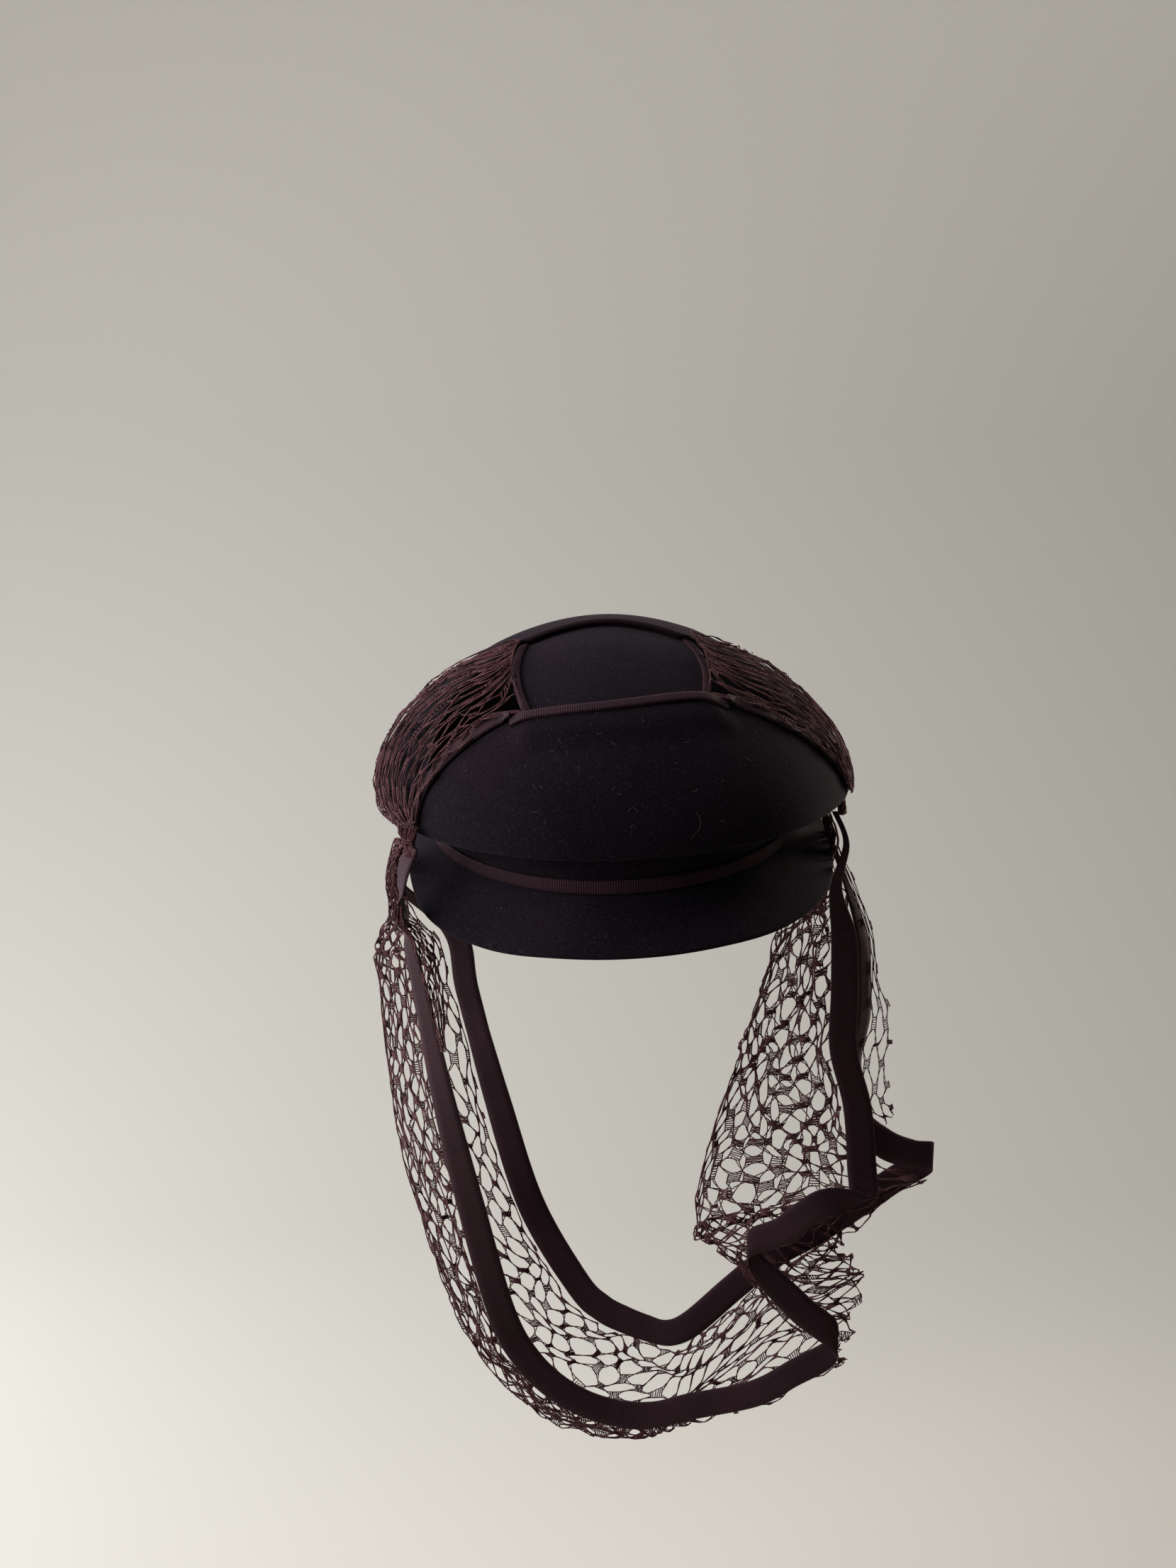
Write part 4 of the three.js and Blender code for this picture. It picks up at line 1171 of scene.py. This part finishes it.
def net_place(i, j):
    spread = np.stack([i * CELL_SPREAD[0], j * CELL_SPREAD[1], 0 * i], -1)
    i = i + DRIFT_ALONG[0] * waviness(spread, *DRIFT_ALONG[1:])
    j = j + DRIFT_ACROSS[0] * waviness(spread, *DRIFT_ACROSS[1:])
    share = np.interp(i / CELLS_ALONG * veil_run[-1], veil_run, shares)
    inside = np.clip(j / CELLS_ACROSS, 0, 1)
    at = veil_point(share, inside)
    step, wide_step = 0.004, 0.03
    ahead, before = np.minimum(share + step, 1), np.maximum(share - step, 0)
    along = veil_point(ahead, inside) - veil_point(before, inside)
    outer, inner = np.minimum(inside + wide_step, 1), np.maximum(inside - wide_step, 0)
    over = veil_point(share, outer) - veil_point(share, inner)
    normal = unit(np.cross(along, over))
    spare = np.clip(1 - np.interp(share, shares, girth) / (CELLS_ACROSS * CELL_WIDE), 0, 1)
    from_end = np.minimum(share, 1 - share) * VEIL_STEPS
    sway = PLEAT_SWAY * np.sin(share * PLEAT_TURNS)
    pleat = np.sin(2 * math.pi * (inside * PLEATS + sway))
    depth = (LEAST_PLEAT + SPARE_PLEAT * spare) * mix(END_PLEAT, 1, smooth(from_end / CORNER_EASE))
    at = at + normal * (pleat * depth)[..., None]
    at = at + unit(over) * (PUCKER * waviness(at, PUCKER_LENGTH, PUCKER_SEED))[..., None]
    # near the corners the net is still drawn in beside the front ribbon
    seam = beside_ribbon(share, FRONT, 0.0)
    first = share < 0.5
    eased = smooth((from_end - np.where(first, *DRAWN_FOR)) / CORNER_EASE)
    drawn = mix(np.where(first, *DRAWN_IN), 1, eased)
    at[..., 0] = seam[..., 0] + (at[..., 0] - seam[..., 0]) * drawn
    return at


points, faces = join_tubes(net_threads(net_place, CELLS_ALONG, CELLS_ACROSS, seed=11))
veil_threads = new_piece("veil_threads", points, faces, thread, ["veil_net"])

# %% [markdown]
# ## Loose edges of the veil
# Along two stretches the net stands out past a ribbon: a crushed fold beside the front ribbon
# under the brim, and a frayed edge outside the rear one. Both are short bands of the same net,
# laid straight out from the ribbon's edge, and a second layer crushed into the first looks
# fuller than one layer with more threads would.

# %% Bands of net beside a ribbon
LAP, STAND_OFF, PAST_EDGE = 1.5, 1.0, 1.1
CRUMPLE, CRUMPLE_LENGTH = 0.35, 9
CRUSH_ACROSS, CRUSH_ALONG = 2.1, 1.3
BAND_UNREST, BAND_THREAD = 0.2, 0.26


def net_band(name, column, rows, widths, cells, seed, crush, layers=1):
    # rows are the first and last section, widths go from first to last, cells are along and across
    width = through([[w] for w in widths])
    along, across = cells

    def place(i, j):
        part = np.clip(i / along, 0, 1)
        share = mix(*rows, part) / VEIL_STEPS
        at, way, _ = ribbon_place(column)(share)
        row = veil_section(share)
        half = VEIL_RIBBON_WIDTH * row[..., column + WIDE] / 2
        lean = np.radians(row[..., column + LEAN])
        aside = np.stack([np.cos(lean), 0 * lean, np.sin(lean)], -1)
        reach = (LAP + width(part)[..., 0]) * np.clip(j / across, 0, PAST_EDGE)
        crushed = crush * (1 + np.sin(j * CRUSH_ACROSS + i * CRUSH_ALONG))
        near = STAND_OFF + crushed * smooth(reach)
        at = at + way * (half - LAP)[..., None] + aside * reach[..., None]
        at = at - np.array([0, 1.0, 0]) * near[..., None]
        folds = [waviness(at, CRUMPLE_LENGTH, seed + k) for k in range(3)]
        return at + crush * CRUMPLE * np.stack(folds, -1)

    sets = []
    for layer in range(layers):
        sets += net_threads(place, along, across, seed + layer, BAND_UNREST, BAND_THREAD)
    points, faces = join_tubes(sets)
    return new_piece(name, points, faces, thread)


crushed_fold = net_band(
    "crushed_fold", FRONT, (1.9, 4.6), (0.5, 3, 6, 7, 6, 1), (14, 4), 61, crush=1.8, layers=2,
)
frayed_edge = net_band(
    "frayed_edge", REAR, (20.3, 26.8), (9, 12, 13, 9, 2.5, 2, 3, 1), (14, 2), 62, crush=0.5,
)

# %% [markdown]
# ## The crown's ribbons
# From the ends of the crescent's binding a pleated ribbon runs down each side to the corner,
# over the front edge of the net. It narrows as it goes and its end laps over the binding, so it
# is the same ribbed ribbon, swept along the crescent's edge with a width that changes.

# %% The crown's ribbons
END_STEP = 0.002
ribbon_span = {
    "right": (CRESCENT_BOUND[0] - END_STEP, 0.06),
    "left": (CRESCENT_BOUND[1] + END_STEP, 0.96),
}
INSET, PINCH, LAPPED = 0.3, 0.55, 2.4
TIP, TIP_SHARE, LAP_SHARE = 0.4, 0.12, 0.10
crown_ribbons = {}
for name in ("right", "left"):
    def tapered(share, name=name):
        keep = mix(1, PINCH, smooth(share)) * mix(TIP, 1, smooth(share / TIP_SHARE))
        outer, inset = (INSET + CROWN_RIBBON_WIDTH) * keep, INSET * keep
        # the end laps over the crescent's binding
        flat = LAPPED * (1 - smooth(share / LAP_SHARE))
        near, far = (inset, outer) if name == "left" else (-outer, -inset)
        return near, far, flat, flat + RIBBON

    crown_ribbons[name], _ = ribbed_ribbon(
        f"net_ribbon_{name}",
        lying(lambda share, lift, name=name: on_crown(
            *crescent_edge(mix(*ribbon_span[name], share)).T, OVER_FELT + lift,
        )),
        tapered, [f"crown_ribbon_{name}"],
    )

# %% [markdown]
# ## Net on the crown
# On the crown's sides the same net is pulled tight from the panel down to the corner, so its
# holes close up into long slits and its ladders lie in rows. It is the same lattice laid on the
# dome, in two layers, and its strands are drawn together in bunches as pulled net is.

# %% How the crown's nets are pulled
CROWN_ALONG, CROWN_ACROSS, CROWN_LAYERS = 7, 9, 2
CROWN_UNREST, CROWN_THREAD, CROWN_HALF = 0.2, 0.3, 0.13
# how the strands bunch: reach, waves across, shift of a layer, drift along
BUNCHING = ((0.030, 24, 2.4, 2), (0.012, 57, 4, -5))
BUNCH_EASE, NET_END = 0.6, 0.985
BARE_RIBBON, BARE_SHARE = 0.07, 0.75
# the net starts at the panel's side and has left it after this share of its length
LEAVES_PANEL, PANEL_STEP = 0.22, 0.5
ON_TOP, BINDING_LIFT, BINDING_SHARE, RIDGE_SHARE = 0.3, 0.6, 0.15, 0.4
RIBBON_EDGE, RIBBON_EASE = 0.1, 0.08
# the strands stand off the dome by chance, more at the back edge, where they are looser
LAYER_LIFT, SLACK, MORE_SLACK, SLACK_HEIGHT = 0.5, 0.5, 0.7, 0.7
LOOSE_FROM, LOOSE_OVER, SLACK_LEVEL, SLACK_LENGTH, SLACK_SEED = 0.6, 0.3, 0.6, 9, 70
# where strands begin up the panel's side: the first one, a quick rise and an even one
FIRST_STRAND, QUICK_RISE, EVEN_RISE, QUICK_FROM, QUICK_OVER = 0.05, 0.3, 0.55, 0.08, 0.12
crown_threads = {}


def along_panel(side, across):
    quick = QUICK_RISE * smooth((across - QUICK_FROM) / QUICK_OVER)
    begin = np.stack(panel_chart(side, FIRST_STRAND + quick + EVEN_RISE * across), -1)
    return begin + [PANEL_STEP * (1 - 2 * side), 0.0]


print("strands begin at", along_panel(0.0, np.array([0.0, 0.5, 1.0])).round(1).tolist())


# %% Lay and dress the crown's nets
def crown_net(name, seed):
    panel_side = 0.0 if name == "right" else 1.0
    sets = []
    for layer in range(CROWN_LAYERS):
        def place(i, j, layer=layer):
            share = np.clip(i / CROWN_ALONG, 0, 1)
            bare = BARE_RIBBON * (1 - smooth(share / BARE_SHARE))
            across = bare + (1 - bare) * j / CROWN_ACROSS
            bunch = sum(
                reach * np.sin(across * waves + layer * shift + share * drift)
                for reach, waves, shift, drift in BUNCHING
            )
            across = np.clip(across + bunch * (1 - BUNCH_EASE * share), 0, 1)
            edge = crescent_edge(mix(*ribbon_span[name], mix(0.0, NET_END, share)))
            at = mix(edge, net_back[name](share), across[..., None])
            leaving = smooth(share / LEAVES_PANEL + 0.001)[..., None]
            at = mix(along_panel(panel_side, across), at, leaving)
            # over the ridge, over the ribbon at its front edge and over the binding
            over = RIDGE_RISE * (1 - smooth(share / RIDGE_SHARE)) * smooth(across * 2)
            on_ribbon = RIBBON * (1 - smooth((across - RIBBON_EDGE) / RIBBON_EASE))
            on_binding = BINDING_LIFT * (1 - smooth(share / BINDING_SHARE))
            lift = OVER_FELT + ON_TOP + over + on_ribbon + on_binding
            base = on_crown(at[..., 0], at[..., 1], lift)
            slack = SLACK + MORE_SLACK * smooth((across - LOOSE_FROM) / LOOSE_OVER)
            wave = SLACK_LEVEL + waviness(base, SLACK_LENGTH, SLACK_SEED + layer)
            lift = lift + LAYER_LIFT * layer + SLACK_HEIGHT * slack * wave
            return worn(on_crown(at[..., 0], at[..., 1], lift))

        sets += net_threads(
            place, CROWN_ALONG, CROWN_ACROSS, seed + layer, CROWN_UNREST, CROWN_THREAD, CROWN_HALF,
        )
    points, faces = join_tubes(sets)
    return new_piece(
        f"crown_threads_{name}", points, faces, thread, [f"crown_net_{name}"],
    )


for seed, name in ((31, "right"), (47, "left")):
    crown_threads[name] = crown_net(name, seed)

# %% [markdown]
# ## Gathers
# At each corner the two nets are drawn into a tight bunch and sewn down. A modelled lump would
# look like putty, so a bunch is a sheaf of strands that narrows in the middle and fans out at
# the top, with two turns of thread round it.

# %% The bunches at the corners
STRANDS, STRAND_POINTS, STRAND_RADIUS = 110, 9, 0.26
WAIST, TOP_FAN, FAN_POWER = 0.50, 0.42, 1.4
LEAN_BACK, TOP_INWARD = 5.0, 2.2
TURN_RADIUS, TURN_WIDE, TURN_DEEP = 0.3, 3.9, 1.7
STRAND_BEND, STRAND_WAVES, STRAND_SHAKE, STRAND_END = 0.5, 7, 0.2, 0.6
TURN_POINTS, TURN_LEVELS, TURN_SLOPE = 15, (-0.5, 0.5), 0.4
BUNCH_SHIFT = {"right": np.array([-2.5, 0.0, -1.0]), "left": np.array([-6.0, 0.5, 1.0])}


def bunch(name, seed):
    rng = np.random.default_rng(seed)
    at, out, across = gather_at[name]
    at = at + BUNCH_SHIFT[name]
    step = np.linspace(0, 1, STRAND_POINTS)
    angle = rng.uniform(0, 2 * math.pi, STRANDS)
    reach = np.sqrt(rng.uniform(0, 1, STRANDS))
    wide, deep = (reach * np.cos(angle))[:, None], (reach * np.sin(angle))[:, None]
    fan = WAIST + TOP_FAN * np.clip(1 - 2 * step, 0, 1)[None, :] ** FAN_POWER
    a = GATHER_WIDTH / 2 * wide * fan - LEAN_BACK * (0.5 - step)
    o = GATHER_DEPTH / 2 * deep * fan - TOP_INWARD * (1 - step) ** 3
    a = a + STRAND_BEND * np.sin(step * STRAND_WAVES + angle[:, None])
    o = o + rng.normal(0, STRAND_SHAKE, o.shape)
    uneven = rng.uniform(-STRAND_END, STRAND_END, (STRANDS, 1))
    z = GATHER_HEIGHT * (0.5 - step)[None, :] + uneven
    paths = at + across * a[..., None] + out * o[..., None]
    paths[..., 2] += z
    turns = np.linspace(0, 2 * math.pi, TURN_POINTS)
    wide, deep = (TURN_WIDE * np.cos(turns))[:, None], (TURN_DEEP * np.sin(turns))[:, None]
    binding = []
    for level in TURN_LEVELS:
        ring = at + across * wide + out * deep
        ring[:, 2] += level + TURN_SLOPE * np.sin(turns + level)
        binding.append(ring)
    points, faces = join_tubes([
        tubes(paths, STRAND_RADIUS), tubes(np.stack(binding), TURN_RADIUS),
    ])
    return new_piece(f"bunch_{name}", points, faces, thread, [f"gather_{name}"])


for seed, name in ((5, "right"), (6, "left")):
    bunch(name, seed)

# %% [markdown]
# ## Lint
# Dark felt picks up pale lint. A few hairs lie loose on the crescent's front, each a small curl
# that follows the felt, and one of them is long. They are thin tubes too, much finer than the
# net's thread, because a painted hair would turn flat when it is seen from close by.

# %% Hairs on the felt
HAIRS, HAIR_POINTS, HAIR_RADIUS, HAIR_LIFT = 30, 14, 0.07, 0.12
HAIR_LENGTH, HAIR_CURL = (1.0, 3.5), 1.2
HAIRS_AROUND, HAIRS_DOWN = (0.28, 0.74), (0.08, 0.62)
# the crescent's size round and down, in millimetres
AROUND, DOWN = 300.0, 95.0
LONG_HAIR = [
    (0.565, 0.570), (0.570, 0.590), (0.570, 0.615), (0.565, 0.640), (0.557, 0.655), (0.550, 0.675),
]
hair = cloth(
    "pale_hair", deep=(0.055, 0.045, 0.046), lit=(0.11, 0.095, 0.096), fibre_glint=(0.15, 0.13, 0.13),
    dye=(300.0, 1.5), fibre=(2500.0, 0.05), roughness=(0.5, 0.7), sheen=0.05,
    sheen_tint=(0.9, 0.85, 0.85), relief=(0.2, 0.0001), gloss=0.2,
)
HAIR_SEED = 97
rng = np.random.default_rng(HAIR_SEED)
part = np.linspace(0, 1, HAIR_POINTS)
places = [through(LONG_HAIR)(part)]
for _ in range(HAIRS):
    length = rng.uniform(*HAIR_LENGTH)
    turn = rng.uniform(0, 2 * math.pi) + rng.normal(0, HAIR_CURL) * part
    step = np.stack([np.cos(turn) / AROUND, np.sin(turn) / DOWN], -1) * length / HAIR_POINTS
    begin = [rng.uniform(*HAIRS_AROUND), rng.uniform(*HAIRS_DOWN)]
    places.append(begin + np.cumsum(step, axis=0))
places = np.stack(places)
lift = np.full(places.shape[:2], FELT + HAIR_LIFT)
hairs = worn(crescent(places[..., 0], places[..., 1], lift))
points, faces = join_tubes([tubes(hairs, HAIR_RADIUS)])
new_piece("lint", points, faces, hair)

# %% [markdown]
# ## Cloth facts
# The nets and the veil's ribbons are sheets; felt is blocked over a form, so it is no sheet. The
# veil's lengths are measured above and its net is twelve cells wide. The crown's nets are about as
# long as their longest line on the dome, and wider than the dome's gap, because they lie in pleats.
# No size is stated here: the loop below runs over the crown's nets and does nothing.

for name, threads in crown_threads.items():
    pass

# %% [markdown]
# ## Backdrop
# The hat is shown against plain, pale, warm grey. A floor and a wall would meet in a visible
# line, so one seamless sheet is floor, bend and wall, with the bend well behind the hat.

# %% Seamless backdrop
FLOOR_END = 0.85
FLOOR_HEIGHT, BEND, WALL_TOP, HALF_WIDE, NEAR_END = -0.5, 0.7, 4.0, 4.5, -4.0
BEND_STEPS = 16
PAINT, PAINT_ROUGHNESS = (0.43, 0.415, 0.378), 0.9


def backdrop():
    side = [(NEAR_END, FLOOR_HEIGHT)]
    for k in range(BEND_STEPS + 1):
        angle = math.pi / 2 * k / BEND_STEPS
        side.append((
            FLOOR_END + BEND * math.sin(angle), FLOOR_HEIGHT + BEND * (1 - math.cos(angle)),
        ))
    side.append((FLOOR_END + BEND, WALL_TOP))
    mesh = bpy.data.meshes.new("backdrop")
    points = [(x, y, z) for y, z in side for x in (-HALF_WIDE, HALF_WIDE)]
    faces = [(2 * k, 2 * k + 1, 2 * k + 3, 2 * k + 2) for k in range(len(side) - 1)]
    mesh.from_pydata(points, [], faces)
    mesh.polygons.foreach_set("use_smooth", [True] * len(faces))
    sheet = bpy.data.objects.new("backdrop", mesh)
    bpy.context.scene.collection.objects.link(sheet)
    paint = bpy.data.materials.new("wall_paint")
    paint.use_nodes = True
    shader = paint.node_tree.nodes["Principled BSDF"]
    shader.inputs["Base Color"].default_value = (*PAINT, 1)
    shader.inputs["Roughness"].default_value = PAINT_ROUGHNESS
    mesh.materials.append(paint)
    print("backdrop:", len(faces), "faces")


backdrop()

# %% [markdown]
# ## Soft light
# Most of the light comes from a large soft source on the left, which leaves the hat's right side
# dark. Two smaller ones brighten the backdrop and the floor, and a weak warm one from behind
# lights the turned ribbons. Sun lamps would draw hard shadows, so all four are area lights.

# %% Soft lights
LIGHTS = [
    # name, place, aimed at, size, watts, colour, spread in degrees
    ("window", (-1.4, 0.05, 0.62), (0, 0.05, -0.05), (2.3, 1.8), 54, (1.0, 0.99, 0.985), 140),
    ("wall_light", (0.9, 0.2, 1.7), (0.5, 1.55, 0.2), (0.9, 0.6), 16, (1.0, 0.98, 0.94), 180),
    ("floor_light", (-0.95, 0.45, 0.1), (-0.6, 0.55, -0.5), (0.5, 0.5), 4.5, (0.86, 0.94, 1), 180),
    ("far_window", (1.0, 0.66, 0.3), (0.1, 0, -0.08), (0.4, 0.7), 2.0, (1.0, 0.88, 0.76), 60),
]


def soft_light(name, at, aim, size, power, colour, spread):
    data = bpy.data.lights.new(name, "AREA")
    data.shape, data.size, data.size_y = "RECTANGLE", size[0], size[1]
    data.energy, data.color = power, colour
    data.spread = math.radians(spread)
    light = bpy.data.objects.new(name, data)
    bpy.context.scene.collection.objects.link(light)
    light.location = at
    light.visible_camera = False
    way = np.array(aim, float) - np.array(at, float)
    light.rotation_euler = (
        math.atan2(math.hypot(way[0], way[1]), -way[2]), 0, math.atan2(way[0], -way[1]) + math.pi,
    )
    print(name, power, "W")


for row in LIGHTS:
    soft_light(*row)

# %% [markdown]
# ## The room's own light
# A little even light fills the shadows, as pale walls would. Past the backdrop's edges the camera
# sees a plain pale room instead of that dim light, so that the other sides are easy to look at.

# %% World
FILL, FILL_COLOUR = 0.018, (0.80, 0.88, 1.0)
ROOM_COLOUR = (0.44, 0.43, 0.40)
world = bpy.data.worlds.new("room")
world.use_nodes = True
room = world.node_tree
walls = room.nodes["Background"]
walls.inputs["Color"].default_value = (*FILL_COLOUR, 1)
walls.inputs["Strength"].default_value = FILL
seen = add_node(room, "ShaderNodeBackground", {"Color": (*ROOM_COLOUR, 1), "Strength": 1.0})
ray = add_node(room, "ShaderNodeLightPath")
both = add_node(room, "ShaderNodeMixShader", {0: ray.outputs["Is Camera Ray"]})
room.links.new(walls.outputs[0], both.inputs[1])
room.links.new(seen.outputs[0], both.inputs[2])
room.links.new(both.outputs[0], room.nodes["World Output"].inputs["Surface"])
bpy.context.scene.world = world
bpy.context.scene.view_settings.view_transform = "Standard"
